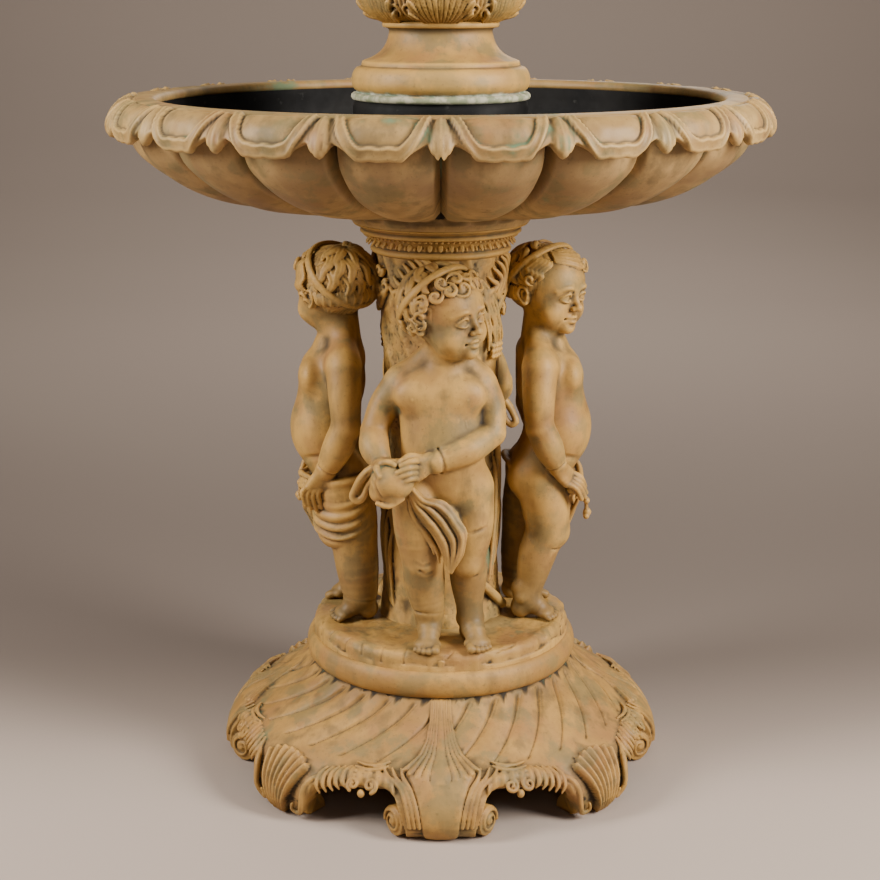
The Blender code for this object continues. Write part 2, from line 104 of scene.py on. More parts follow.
class Clay:
    # Distances to the surface on a grid, negative inside. With turns, the grid goes round the Z axis:
    # its axes are the angle from the front, the radius and the height, and it repeats after that angle.

    def __init__(self, low, high, step, turns=0.0):
        self.turns = turns
        self.low = np.array(low, dtype=float)
        self.step = np.ones(3) * np.array(step, dtype=float)
        self.count = np.round((np.array(high) - self.low) / self.step).astype(int) + 1
        if turns:
            self.count[0] = int(round(turns / self.step[0]))
            self.step[0] = turns / self.count[0]
        self.field = np.full(self.count, 60.0, dtype=np.float32)
        self.margin = 8.0
        self.place()

    def place(self, pose=Matrix()):
        # later shapes are given in this pose's own space
        self.pose = np.array(pose)
        self.back = np.array(pose.inverted())

    def cells(self, low, high):
        if self.turns:
            xs = np.array([low[0], low[0], high[0], high[0]])
            ys = np.array([low[1], high[1], low[1], high[1]])
            middle = math.atan2((low[0] + high[0]) / 2, -(low[1] + high[1]) / 2)
            turn = (np.arctan2(xs, -ys) - middle + math.pi) % math.tau - math.pi
            near = math.hypot(min(max(0.0, low[0]), high[0]), min(max(0.0, low[1]), high[1]))
            if near < 1e-6:
                turn = np.array([-math.pi, math.pi])
            low = np.array([middle + turn.min(), near, low[2]])
            high = np.array([middle + turn.max(), np.hypot(xs, ys).max(), high[2]])
        first = np.floor((low - self.low) / self.step).astype(int)
        last = np.ceil((high - self.low) / self.step).astype(int) + 1
        if self.turns:
            last[0] = min(last[0], first[0] + self.count[0])
        start = 1 if self.turns else 0
        first[start:] = np.clip(first[start:], 0, self.count[start:])
        last[start:] = np.clip(last[start:], 0, self.count[start:])
        return [np.arange(a, b) for a, b in zip(first, last)]

    def samples(self, cells):
        a, b, c = [(self.low[i] + self.step[i] * cells[i]).astype(np.float32) for i in range(3)]
        a, b, c = a[:, None, None], b[None, :, None], c[None, None, :]
        if self.turns:
            a, b = b * np.sin(a), -b * np.cos(a)
        return a, b, c

    def add(self, shape, blend=0.0, carve=False):
        low, high, distance = shape
        pad = self.margin + blend
        corners = [[(low[0] - pad, high[0] + pad)[i], (low[1] - pad, high[1] + pad)[j],
                    (low[2] - pad, high[2] + pad)[k], 1.0] for i in (0, 1) for j in (0, 1) for k in (0, 1)]
        corners = np.array(corners) @ self.pose.T
        cells = self.cells(corners[:, :3].min(axis=0), corners[:, :3].max(axis=0))
        if min(len(axis) for axis in cells) == 0:
            return
        x, y, z = self.samples(cells)
        m = self.back.astype(np.float32)
        if not np.allclose(m, np.eye(4)):
            x, y, z = [m[i, 0] * x + m[i, 1] * y + m[i, 2] * z + m[i, 3] for i in range(3)]
        size = float(np.linalg.norm(self.pose[:3, 0]))
        new = distance(x, y, z) * size
        window = np.ix_(cells[0] % self.count[0], cells[1], cells[2])
        old = self.field[window]
        if carve:
            self.field[window] = -smoothMin(-old, new, blend)
        else:
            self.field[window] = smoothMin(old, new, blend)

    def cut(self, shape, blend=0.0):
        self.add(shape, blend, True)

    def soften(self, rounds):
        # evens out small bumps and joints
        for _ in range(rounds):
            for axis in range(3):
                ahead, behind = np.roll(self.field, -1, axis), np.roll(self.field, 1, axis)
                self.field = (0.5 * self.field + 0.25 * (ahead + behind)).astype(np.float32)

    def net(self):
        # surface nets: one vertex per cell that the surface crosses, one face per crossed grid edge
        field = self.field
        if self.turns:
            field = np.concatenate([field, field[:1]])
        inside = field < 0.0
        total = np.zeros([n - 1 for n in field.shape], dtype=np.uint8)
        for i in (0, 1):
            for j in (0, 1):
                for k in (0, 1):
                    total += inside[i:field.shape[0] - 1 + i, j:field.shape[1] - 1 + j,
                                    k:field.shape[2] - 1 + k]
        crossed = (total > 0) & (total < 8)
        cell = np.argwhere(crossed)
        number = np.full(crossed.shape, -1, dtype=np.int32)
        number[crossed] = np.arange(len(cell), dtype=np.int32)
        place = np.zeros((len(cell), 3))
        hits = np.zeros(len(cell))
        for axis in range(3):
            others = [other for other in range(3) if other != axis]
            for i in (0, 1):
                for j in (0, 1):
                    corner = np.zeros(3, dtype=int)
                    corner[others[0]], corner[others[1]] = i, j
                    start = cell + corner
                    end = start.copy()
                    end[:, axis] += 1
                    a = field[tuple(start.T)].astype(float)
                    b = field[tuple(end.T)].astype(float)
                    cross = (a < 0) != (b < 0)
                    share = np.where(cross, a / np.where(cross, a - b, 1.0), 0.0)
                    spot = start.astype(float)
                    spot[:, axis] += share
                    place += spot * cross[:, None]
                    hits += cross
        place = self.low + place / hits[:, None] * self.step
        faces = []
        for axis in range(3):
            others = [other for other in range(3) if other != axis]
            one = np.take(inside, range(0, field.shape[axis] - 1), axis=axis)
            two = np.take(inside, range(1, field.shape[axis]), axis=axis)
            spots = np.argwhere(one != two)
            if self.turns and axis != 0:
                spots = spots[spots[:, 0] < field.shape[0] - 1]
            for other in others:
                if not (self.turns and other == 0):
                    spots = spots[(spots[:, other] > 0) & (spots[:, other] < field.shape[other] - 1)]
            out = one[tuple(spots.T)]
            corners = []
            for i, j in ((0, 0), (1, 0), (1, 1), (0, 1)):
                back = spots.copy()
                back[:, others[0]] -= i
                back[:, others[1]] -= j
                if self.turns:
                    back[:, 0] %= crossed.shape[0]
                corners.append(number[tuple(back.T)])
            quad = np.stack(corners, axis=1)
            flip = out if axis != 1 else ~out
            quad[~flip] = quad[~flip][:, ::-1]
            faces.append(quad)
        faces = np.concatenate(faces)
        if self.turns:
            angle, radius, height = place.T
            place = np.stack([radius * np.sin(angle), -radius * np.cos(angle), height], axis=1)
            faces = faces[:, ::-1]
        return place, faces


def meshFrom(name, points, faces):
    mesh = bpy.data.meshes.new(name)
    mesh.vertices.add(len(points))
    mesh.vertices.foreach_set("co", np.ascontiguousarray(points, dtype=np.float32).ravel())
    mesh.loops.add(faces.size)
    mesh.loops.foreach_set("vertex_index", np.ascontiguousarray(faces, dtype=np.int32).ravel())
    mesh.polygons.add(len(faces))
    mesh.polygons.foreach_set("loop_start", np.arange(0, faces.size, faces.shape[1], dtype=np.int32))
    mesh.update(calc_edges=True)
    mesh.validate()
    return mesh


def relax(points, edges, rounds, amount=0.5):
    count = np.bincount(edges.ravel(), minlength=len(points)).astype(float)[:, None] + 1e-9
    for _ in range(rounds):
        total = np.stack([np.bincount(edges[:, 0], points[edges[:, 1], i], len(points))
                          + np.bincount(edges[:, 1], points[edges[:, 0], i], len(points)) for i in range(3)],
                          axis=1)
        points = points + (total / count - points) * amount
    return points


def read(mesh):
    points = np.empty(len(mesh.vertices) * 3, dtype=np.float32)
    mesh.vertices.foreach_get("co", points)
    edges = np.empty(len(mesh.edges) * 2, dtype=np.int32)
    mesh.edges.foreach_get("vertices", edges)
    normals = np.empty(len(mesh.vertices) * 3, dtype=np.float32)
    mesh.vertices.foreach_get("normal", normals)
    return points.reshape(-1, 3).astype(float), edges.reshape(-1, 2), normals.reshape(-1, 3)


def thin(mesh, triangles):
    # fewer triangles, kept where the surface bends
    obj = bpy.data.objects.new(mesh.name, mesh)
    bpy.context.scene.collection.objects.link(obj)
    modifier = obj.modifiers.new("thin", "DECIMATE")
    count = len(mesh.loops) - 2 * len(mesh.polygons)
    modifier.ratio = min(1.0, triangles / count)
    graph = bpy.context.evaluated_depsgraph_get()
    result = bpy.data.meshes.new_from_object(obj.evaluated_get(graph))
    bpy.data.objects.remove(obj)
    return result


def noteCavities(mesh, fine=2, broad=24):
    # how far each vertex lies below its surroundings, in millimetres, as two attributes
    points, edges, normals = read(mesh)
    for name, rounds in (("cavity", fine), ("hollow", broad)):
        smooth = relax(points, edges, rounds)
        depth = ((smooth - points) * normals).sum(axis=1) * 1000.0
        layer = mesh.attributes.new(name, "FLOAT", "POINT")
        layer.data.foreach_set("value", depth.astype(np.float32))


def turnedPose(centre, turn=0.0, nod=0.0, lean=0.0, size=1.0):
    # a pose at centre, turned about Z, then nodding about X and leaning about Y, in degrees
    angles = ((turn, "Z"), (lean, "Y"), (nod, "X"))
    turns = [Matrix.Rotation(math.radians(angle), 4, axis) for angle, axis in angles]
    return Matrix.Translation(centre) @ turns[0] @ turns[1] @ turns[2] @ Matrix.Scale(size, 4)


def face(clay):
    # head space: millimetres from the middle of the head, -Y forward
    clay.add(ball((0, 8, 16), (61, 70, 60)))
    clay.add(ball((0, -16, -14), (52, 46, 52)), 16)
    clay.add(ball((0, -22, 24), (50, 42, 42)), 16)
    clay.add(ball((0, -20, -50), (38, 34, 25)), 14)
    for side in (-1, 1):
        clay.add(ball((side * 29, -34, -32), (22, 21, 21)), 14)
        clay.cut(ball((side * 22, -70, -2), (15, 9, 9)), 9)
        clay.add(strand([(side * 9, -63.5, 10), (side * 22, -65, 15), (side * 39, -51, 9)], (2, 3.2, 2)), 8)
    clay.add(ball((0, -45, -42), (19, 16, 17)), 10)
    clay.add(ball((0, -50, -60), (14, 12, 12)), 10)
    clay.cut(ball((0, -65, -54), (14, 4.5, 3.6)), 6)
    clay.add(strand([(0, -61, 6), (0, -65, -6), (0, -71.5, -20)], (4.6, 4.8, 6.2), 5), 8)
    clay.add(ball((0, -72.5, -21.5), (7.4, 6.4, 6.2)), 4)
    for side in (-1, 1):
        clay.add(ball((side * 7.6, -66.5, -23.5), (5, 6, 4.6)), 3)
        clay.cut(ball((side * 4.2, -71, -28.5), (2.4, 3, 2.2)), 1.5)
        clay.add(ball((side * 21.5, -50, -3), (13, 13, 13)), 1.5)
        x = side
        clay.add(strand([(x * 9.5, -58.5, -5.5), (x * 14, -63.5, 1.5), (x * 21.5, -65.2, 4.6),
                         (x * 29, -62, 1.8), (x * 34, -55, -4.5)], (1.2, 2.2, 2.5, 2.2, 1.4), 11), 1.5)
        clay.add(strand([(x * 10, -58.5, -6), (x * 15, -62, -9.4), (x * 22, -63.2, -10.8), (x * 29, -60, -9),
                         (x * 33.5, -54.5, -5.5)], (1.0, 1.6, 1.8, 1.6, 1.2), 11), 2.5)
        clay.cut(ball((x * 20.5, -64.4, -3), (2.2, 2.2, 2.2)), 0.8)
        clay.cut(strand([(x * 10, -66, 7.5), (x * 21, -68.5, 10), (x * 33, -61.5, 4)], (0.9, 1.3, 0.9), 7), 4)
    clay.add(strand([(-15, -53.5, -42), (-8, -61, -40.2), (-2.4, -64, -38.8), (2.4, -64, -38.8),
                     (8, -61, -40.2), (15, -53.5, -42)], (1.4, 2.8, 3.2, 3.2, 2.8, 1.4), 15), 3)
    clay.add(strand([(-13, -54, -44.5), (-6.5, -60.8, -47), (0, -62.6, -47.8), (6.5, -60.8, -47),
                     (13, -54, -44.5)],
                    (1.4, 3.2, 3.8, 3.2, 1.4), 13), 3)
    clay.cut(strand([(-16, -54.5, -42.2), (-8, -64.5, -43.2), (0, -66.8, -42.6), (8, -64.5, -43.2),
                     (16, -54.5, -42.2)], (1.1, 1.2, 1.3, 1.2, 1.1), 11), 1.5)
    clay.cut(strand([(0, -68.5, -36), (0, -67, -30)], (1.5, 1.2), 3), 3)
    for side in (-1, 1):
        clay.cut(ball((side * 17, -54.5, -42.5), (2.2, 3, 2.2)), 3)


def ear(clay, side):
    flare = side * 61
    clay.add(ball((side * 58, 6, -7), (6, 11, 16)), 4)
    rim = [(flare, -2, -7), (flare + side * 3, -3, 3), (flare + side * 5, 3, 11), (flare + side * 6, 12, 9),
           (flare + side * 6, 15, -1), (flare + side * 4, 11, -12), (flare + side * 2, 4, -19),
           (flare, 0, -18)]
    clay.add(strand(rim, (2.0, 2.6, 2.9, 3.0, 2.8, 2.6, 3.4, 3.4), 17), 2)
    clay.add(ball((side * 59, 6, -5), (4.5, 9, 14)), 3)
    clay.cut(ball((flare + side * 7, 7, -4), (4.0, 5.0, 8)), 3)
    clay.add(strand([(flare + side * 2, 2, 5), (flare + side * 3.4, 8, 2), (flare + side * 3, 7, -9)],
                    (1.6, 2.0, 1.4), 9), 2)
    clay.add(ball((flare + side * 1.5, -2, -7), (2.5, 2.5, 4)), 2)


def onHead(direction, lift=0.0):
    # a point on the hair's surface in a direction, and the surface's own directions there
    centre = Vector((0.0, 13.0, 22.0))
    sizes = Vector((67.0, 72.0, 64.0))
    way = Vector(direction).normalized()
    reach = 1.0 / math.sqrt(sum((way[i] / sizes[i]) ** 2 for i in range(3)))
    spot = centre + way * reach
    out = Vector([(spot[i] - centre[i]) / sizes[i] ** 2 for i in range(3)]).normalized()
    return spot + out * lift, out


def curl(clay, direction, size, spin, twist=1, thick=4.2, turns=1.15, lift=0.0):
    # a comma-shaped lock that winds in to a raised middle
    spot, out = onHead(direction, lift)
    across = out.cross(Vector((0.3, 0.2, 1.0))).normalized()
    up = out.cross(across)
    clay.add(ball(spot - out * size * 0.30, size * 0.82), 3)
    points = []
    for step in range(13):
        share = step / 12.0
        angle = spin + twist * share * turns * math.tau
        radius = size * (1.28 - 1.14 * share ** 0.8)
        rise = 1.6 + 3.0 * math.sin(math.pi * min(1.0, share * 1.1)) + 1.5 * share
        points.append(spot + (across * math.cos(angle) + up * math.sin(angle)) * radius + out * rise)
    radii = [thick * 0.3, thick * 0.8, thick, thick * 0.85, thick * 0.6, thick * 0.5]
    clay.add(strand(points, radii, 16), 1.0)
    inner = [point - (point - spot) * 0.28 + out * thick * 0.62 for point in points[2:10]]
    clay.cut(strand(inner, (0.5, 1.1, 1.1, 0.5), 9), 0.8)


def lock(clay, points, thick=3.2, strands=3, spread=3.6, blend=1.0):
    # strands side by side along one line given as directions and lifts from the head
    spots = [onHead(direction, lift) for direction, lift in points]
    for number in range(strands):
        side = (number - (strands - 1) / 2.0) * spread
        line = []
        for step, (spot, out) in enumerate(spots):
            ahead = spots[min(step + 1, len(spots) - 1)][0] - spots[max(step - 1, 0)][0]
            across = ahead.cross(out).normalized()
            narrow = 1.0 - 0.75 * (step / (len(spots) - 1.0)) ** 2
            line.append(spot + across * side * narrow + out * (0.6 * thick * (number % 2) * 0.5))
        clay.add(strand(line, (thick * 0.6, thick, thick, thick * 0.8, thick * 0.35), 12), blend)


def hairCap(clay, seed, strands=20, depth=2.2):
    # the combed hair close to the head: fine waves that run from the crown
    centre, sizes = np.array((0.0, 14.0, 21.0)), np.array((67.0, 72.0, 63.5))
    crown, side, back = hairFrame

    def distance(x, y, z):
        x, y, z = (x - centre[0]) / sizes[0], (y - centre[1]) / sizes[1], (z - centre[2]) / sizes[2]
        away = np.sqrt(x * x + y * y + z * z) + 1e-6
        up = (x * crown[0] + y * crown[1] + z * crown[2]) / away
        around = np.arctan2(x * side[0] + y * side[1] + z * side[2], x * back[0] + y * back[1] + z * back[2])
        tilt = np.arccos(np.clip(up, -1.0, 1.0))
        ripple = 0.16 * np.sin(tilt * 5.2 + 1.7 * np.sin(around * 3.0 + seed))
        wavy = around + ripple + 0.05 * np.sin(tilt * 13.0 + seed)
        fine = 1.0 - np.abs(np.sin(wavy * strands + 1.3 * np.sin(wavy * 5.0 + seed)))
        broad = 0.5 + 0.5 * np.cos(wavy * 9.0 + 2.0 * np.sin(tilt * 3.1 + seed))
        relief = (depth * (broad - 0.3) - 1.5 * fine ** 2) * smoothStep((tilt - 0.05) / 0.4)
        x, y, z = x / sizes[0], y / sizes[1], z / sizes[2]
        return away * (away - 1.0) / (np.sqrt(x * x + y * y + z * z) + 1e-6) - relief
    clay.add((centre - sizes - 3, centre + sizes + 3, distance), 1.5)


def smoothStep(share):
    share = np.clip(share, 0.0, 1.0)
    return share * share * (3.0 - 2.0 * share)


crownWay = Vector((0.0, 0.40, 0.92)).normalized()
hairFrame = (crownWay, Vector((1.0, 0.0, 0.0)), crownWay.cross(Vector((1.0, 0.0, 0.0))))


def combed(around, fall):
    # a direction on the head: around is 0 at the front, fall is the angle down from the crown
    crown, side, back = hairFrame
    return crown * math.cos(fall) + (side * math.sin(around) - back * math.cos(around)) * math.sin(fall)


def waving(clay, around, start, end, swing, wave, lift, thick, strands=4, spread=3.6):
    # a long lock that waves down from the crown and lifts at its end
    line = []
    for step in range(7):
        share = step / 6.0
        turn = around + swing * share + wave * math.sin(share * 5.4)
        line.append((combed(turn, start + (end - start) * share),
                     -1.0 + lift * share ** 2 + 2.0 * math.sin(share * math.pi)))
    lock(clay, line, thick, strands, spread, 1.0)


def curlyHair(clay, seed):
    chance = random.Random(seed)
    hairCap(clay, seed, 20, 2.6)
    for row, (start, end, count) in enumerate(((0.10, 0.95, 9), (0.65, 1.35, 13), (1.15, 1.80, 15))):
        for step in range(count):
            around = (step + 0.5 * (row % 2) + 0.3 * chance.random()) / count * math.tau
            facing = math.cos(around)
            if end > 1.0 and facing > 0.55 or end > 1.4 and facing > 0.1:
                continue
            waving(clay, around, start, end, 0.22 + 0.16 * chance.random(), 0.09, 3.0,
                   3.4 + 0.8 * chance.random(), 5, 3.9)
    # curls behind the ears and along the nape, with open middles
    for step in range(13):
        around = math.radians(92 + 176 * step / 12.0)
        way = Vector((math.sin(around), -math.cos(around), -0.42 - 0.16 * (step % 2)))
        curl(clay, way, 11.0 + chance.random() * 2.0, chance.random() * 6.3, 1 if step % 2 else -1, 4.4, 1.2,
             1.0)
    ribbon(clay, -46.0, 0.0, 5.5)
    # rolled curls on the forehead and temples, in front of the band
    for angle, height, size in ((-68, 0.22, 11.0), (-50, 0.36, 12.0), (-30, 0.46, 12.5), (-9, 0.44, 13.0),
                                (12, 0.46, 12.5), (33, 0.42, 12.5), (53, 0.32, 12.0), (71, 0.16, 11.0),
                                (-38, 0.74, 11.5), (-14, 0.78, 12.0), (10, 0.80, 12.0), (34, 0.74, 11.5),
                                (56, 0.62, 11.0)):
        turn = math.radians(angle)
        way = Vector((math.sin(turn), -math.cos(turn), height))
        curl(clay, way, size, chance.random() * 6.3, 1 if angle > -10 else -1, 4.8, 1.1, 2.0)
    for side in (-1, 1):
        for step, (x, y, z, size) in enumerate(((1.0, -0.36, 0.10, 11.0), (1.0, -0.30, -0.12, 10.5),
                                                (1.0, -0.24, -0.34, 9.0))):
            curl(clay, (side * x, y, z), size, step * 2.1, side, 4.2, 1.15, 1.5)


def ribbon(clay, tilt, lean, wide=4.5):
    # a flat band round the hair, from above the forehead to the nape
    pose = Matrix.Rotation(math.radians(tilt), 4, "X") @ Matrix.Rotation(math.radians(lean), 4, "Y")
    for lift, out, thick in ((0.0, 5.4, wide * 0.8), (-0.05, 5.4, wide * 0.7), (0.05, 5.4, wide * 0.7)):
        line = []
        for step in range(41):
            angle = step / 40.0 * math.tau
            line.append(onHead(pose @ Vector((math.cos(angle), math.sin(angle), 0.25 + lift)), out)[0])
        clay.add(path(line, thick), 1.0)


def foot(clay, heel, turn, side):
    # side is 1 where the big toe is on the +X side; the heel stands at (0, 0, 0) and the toes point to -Y
    clay.place(turnedPose((heel[0], heel[1], 0.0), turn))
    clay.add(ball((0, -8, 19), (20, 20, 21)), 10)
    clay.add(strand([(0, -12, 58), (0, -20, 38), (1, -38, 24), (1, -54, 14)], (23, 23, 20, 12)), 10)
    clay.add(ball((0, -56, 12), (26, 17, 12)), 8)
    toes = ((17, -74, 8.4), (5.5, -76, 6.4), (-4.0, -74.5, 5.9), (-13, -71, 5.6), (-21, -65.5, 5.2))
    for x, tip, thick in toes:
        line = [(x * side * 0.86, -56, 11), (x * side, tip + 8, thick + 2.5), (x * side, tip, thick * 0.92)]
        clay.add(strand(line, (thick * 0.8, thick * 0.86, thick), 6), 1.6)
    for x in (-21, 21):
        clay.add(ball((x * 0.9, -10, 44), (7, 9, 9)), 9)
    clay.place()


def hand(clay, wrist, knuckle, across, tip, bend, thumb, spread=1.05):
    wrist, knuckle, across, tip, bend = (Vector(v) for v in (wrist, knuckle, across, tip, bend))
    for number in range(4):
        off = (number - 1.5) / 1.5
        start = wrist + across * off * 0.6
        base = knuckle + across * off - (tip - knuckle) * 0.05 * off * off
        clay.add(strand([start, (start + base) / 2, base], (10.5, 10, 7.2), 5), 5)
        end = tip + across * off * spread - (tip - knuckle) * (0.16 * off * off + 0.05 * off)
        middle = (base + end) / 2 + bend
        clay.add(strand([base, (base + middle) / 2 + bend * 0.45, middle, end], (6.4, 5.9, 5.6, 4.6), 9), 1.5)
    clay.add(strand(thumb, (9.5, 7.2, 5.4), 7), 3)


def ring(clay, centre, axis, size, groove=1.6, blend=3.0):
    # a crease round a limb
    axis = Vector(axis).normalized()
    side = axis.orthogonal().normalized()
    other = axis.cross(side)
    points = []
    for step in range(17):
        angle = step / 16.0 * math.tau
        points.append(Vector(centre) + (side * math.cos(angle) + other * math.sin(angle)) * size)
    clay.cut(path(points, groove), blend)


def trunkOfBody(clay, chest, belly, hips):
    # chest, belly and hips are (centre, half sizes)
    clay.add(ball(*chest))
    clay.add(ball(*belly), 26)
    clay.add(ball(*hips), 26)


def breast(clay, centre, out):
    # a soft chest muscle
    x, y, z = centre
    clay.add(ball((x, y + 16, z + 4), (33, 19, 27)), 20)
    clay.add(ball((x + out * 4, y - 2.5, z + 1), (2.8, 2.8, 2.8)), 2.5)


def frontBody(clay):
    clay.margin = 30
    trunkOfBody(clay, ((0, -1, 458), (77, 57, 82)), ((3, -10, 384), (76, 63, 88)),
                ((13, 0, 314), (76, 57, 60)))
    clay.add(strand([(-66, 6, 496), (0, 2, 500), (60, 6, 496)], (32, 36, 32), 9), 18)
    clay.add(strand([(5, 5, 505), (9, 2, 545), (11, -2, 590)], (39, 37, 36), 7), 14)
    for x in (-1, 1):
        clay.add(strand([(8 + x * 12, 8, 562), (4 + x * 40, 9, 532), (x * 70, 8, 508)], (22, 23, 22), 9), 14)
    # legs
    clay.add(strand([(-34, 0, 298), (-38, -10, 230), (-32, -16, 170)], (47, 46, 35), 13), 16)
    clay.add(strand([(-32, -14, 172), (-30, -2, 125), (-23, 0, 56)], (34, 35, 24), 13), 8)
    clay.add(strand([(50, 4, 298), (52, -2, 230), (49, -3, 165)], (47, 44, 31), 13), 16)
    clay.add(strand([(49, -2, 168), (51, 9, 125), (53, 8, 56)], (31, 34, 21), 13), 7)
    for x in (-20, 46):
        clay.add(ball((x, 28, 306), (41, 36, 42)), 14)
    clay.add(ball((48, -25, 160), (20, 14, 18)), 14)
    clay.add(ball((-32, -40, 168), (20, 14, 18)), 14)
    # arms
    clay.margin = 16
    clay.add(strand([(-76, 6, 490), (-102, 4, 455), (-120, -8, 412)], (32, 28, 24), 13), 10)
    clay.add(strand([(-120, -9, 410), (-119, -36, 388), (-106, -60, 366)], (25, 27, 19), 13), 5)
    clay.add(strand([(72, 6, 490), (88, 3, 452), (92, -14, 410)], (32, 29, 25), 13), 8)
    clay.add(strand([(91, -16, 408), (50, -54, 390), (-10, -76, 370)], (25, 27, 20), 13), 5)
    clay.soften(6)
    foot(clay, (-19, 14), -6, 1)
    foot(clay, (52, 22), 16, -1)
    clay.margin = 6
    breast(clay, (-46, -49, 478), -1)
    breast(clay, (44, -49, 478), 1)
    clay.cut(ball((8, -76, 378), (4, 5, 4)), 5)
    clay.cut(strand([(-26, -31, 545), (8, -40, 537), (36, -30, 546)], (0.6, 1.8, 0.6), 9), 9)
    clay.cut(strand([(13, 62, 296), (13, 66, 322), (12, 56, 345)], (3, 4, 1.5), 7), 7)
    clay.cut(strand([(2, 67, 360), (0, 66, 430), (0, 62, 490)], (2, 2, 1), 9), 20)
    ring(clay, (-2, -71, 372), (0.9, 0.33, 0.12), 22.5, 1.6, 5.0)
    ring(clay, (-23, -80, 369), (0.9, 0.33, 0.1), 20.0, 1.4)
    clay.cut(strand([(-140, -34, 404), (-122, -40, 408), (-102, -34, 402)], (0.8, 1.5, 0.8), 9), 4)
    # creases of a chubby thigh and knee
    clay.cut(strand([(20, -30, 238), (46, -48, 228), (84, -36, 238)], (0.6, 1.6, 0.6), 9), 6)
    clay.cut(strand([(30, -28, 140), (48, -36, 134), (66, -26, 142)], (0.6, 1.5, 0.6), 9), 5)


def drape(clay, left, right, out, depth, folds, thick=4.0, fade=0.0, count=17, sharp=0.8):
    # cloth between two smooth lines, pleated by ridges that run along it; fade flattens them at the start
    out = Vector(out)
    a, b = curve(left, count), curve(right, count)
    lines = folds * 6 + 1
    for number in range(lines):
        share = number / (lines - 1.0)
        wave = (0.5 - 0.5 * math.cos(math.tau * folds * share)) ** sharp
        points = []
        for step in range(count):
            along = step / (count - 1.0)
            lift = depth * wave * (1.0 - fade * (1.0 - along))
            points.append(a[step] * (1.0 - share) + b[step] * share + np.array(out) * lift)
        clay.add(path(points, thick), 1.5)


def bundle(clay):
    # a wrapped ball with cloth hanging from it, held in both hands
    clay.margin = 8
    clay.add(ball((-86, -92, 340), (39, 34, 34)), 4)
    clay.add(ball((-108, -92, 322), (19, 22, 20)), 5)
    clay.add(ball((-86, -100, 313), (20, 18, 13)), 5)
    clay.add(ball((-100, -106, 316), (9, 8, 7)), 3)
    clay.cut(strand([(-122, -104, 350), (-110, -122, 330), (-84, -128, 322), (-56, -118, 324)],
                    (0.8, 1.8, 1.8, 0.6), 9), 4)
    clay.cut(strand([(-112, -112, 362), (-116, -114, 342), (-104, -116, 318)], (0.8, 1.8, 0.8), 9), 4)
    clay.add(strand([(-112, -112, 306), (-92, -116, 302), (-66, -106, 312)], (4, 5, 3), 7), 3)
    # the loop that hangs outside the right hand
    loop = [(-104, -80, 366), (-124, -86, 360), (-140, -84, 344), (-152, -80, 322), (-156, -78, 308),
            (-146, -80, 302), (-136, -82, 312), (-130, -84, 330), (-122, -88, 342)]
    clay.add(strand(loop, (7, 8.5, 8, 7, 7.5, 7.5, 6, 5, 5), 19), 3)
    clay.cut(strand([(-128, -94, 356), (-142, -92, 338), (-150, -88, 318)], (1, 1.6, 1), 7), 2)
    # right hand lies over the top, left hand on the right side
    hand(clay, (-108, -66, 362), (-92, -84, 372), (-9, -9, 2), (-66, -100, 372), (2, -3, 4),
         [(-104, -78, 366), (-112, -98, 366), (-106, -114, 356)])
    hand(clay, (-24, -80, 370), (-42, -92, 362), (1, 2, 15), (-78, -117, 358), (0, -9, 5),
         [(-36, -82, 378), (-54, -92, 386), (-70, -102, 380)])


def frontCloth(clay):
    clay.margin = 8
    # the cloth that wraps the right leg down to its cuff
    clay.add(strand([(-46, -24, 300), (-40, -18, 240), (-35, -16, 172), (-30, -4, 118), (-23, -4, 72)],
                    (44, 45, 37, 36, 28), 15), 8)
    ring(clay, (-22, -4, 66), (0.05, 0.1, 1), 29.5, 2.4, 2.4)
    clay.add(strand([(-44, -44, 318), (-24, -50, 284), (2, -48, 244), (14, -46, 196)], (13, 17, 15, 8), 9), 5)
    clay.add(strand([(-4, -44, 284), (18, -48, 262), (30, -48, 226)], (10, 14, 10), 7), 5)
    drape(clay, [(-55, -72, 314), (-49, -68, 288), (-36, -64, 263), (-18, -61, 240), (-4, -60, 216),
                 (6, -59, 192), (15, -58, 164)],
          [(-50, -80, 324), (-30, -72, 302), (-2, -67, 294), (16, -67, 280), (30, -69, 260), (43, -70, 234),
           (37, -70, 198), (18, -60, 162)],
          (0.1, -1.0, 0.1), 9.0, 3, 3.6, 0.0, 27, 0.75)
    for line, radii in (
            # the rolled upper edge, out to its corner and back down to the tip
            ([(-53, -80, 322), (-44, -76, 310), (-30, -71, 299), (-2, -67, 296), (14, -67, 285),
              (27, -69, 266), (44, -70, 240), (40, -72, 220), (38, -70, 199), (30, -68, 182), (17, -61, 162)],
              (4.2, 4.8, 4.6, 4.4, 4.6, 4.4, 3.8, 4.0, 4.2, 3.6, 2.6)),
            # thin pleats on the near side
            ([(-57, -68, 300), (-52, -66, 276), (-40, -62, 250), (-22, -59, 226), (-8, -58, 200),
              (-2, -56, 176)],
             (3.0, 3.8, 3.8, 3.6, 3.4, 2.0)),
            ([(-46, -62, 260), (-32, -59, 236), (-18, -58, 212), (-12, -56, 192)], (2.0, 3.2, 3.2, 1.6))):
        clay.add(strand(line, radii, 27), 2.2)
    # cloth that falls behind the leg
    clay.add(strand([(-78, -34, 326), (-80, -24, 280), (-76, -14, 230), (-66, 0, 180)], (6, 7, 6, 3), 13), 5)
    clay.add(strand([(-66, -52, 330), (-72, -42, 290), (-72, -30, 240)], (5, 6, 3), 13), 5)
    clay.cut(strand([(-44, -58, 176), (-32, -60, 170), (-20, -55, 174)], (1.0, 2.2, 1.0), 7), 5)
    clay.cut(strand([(-38, -54, 160), (-28, -56, 152), (-16, -50, 156)], (1.0, 2.0, 1.0), 7), 5)


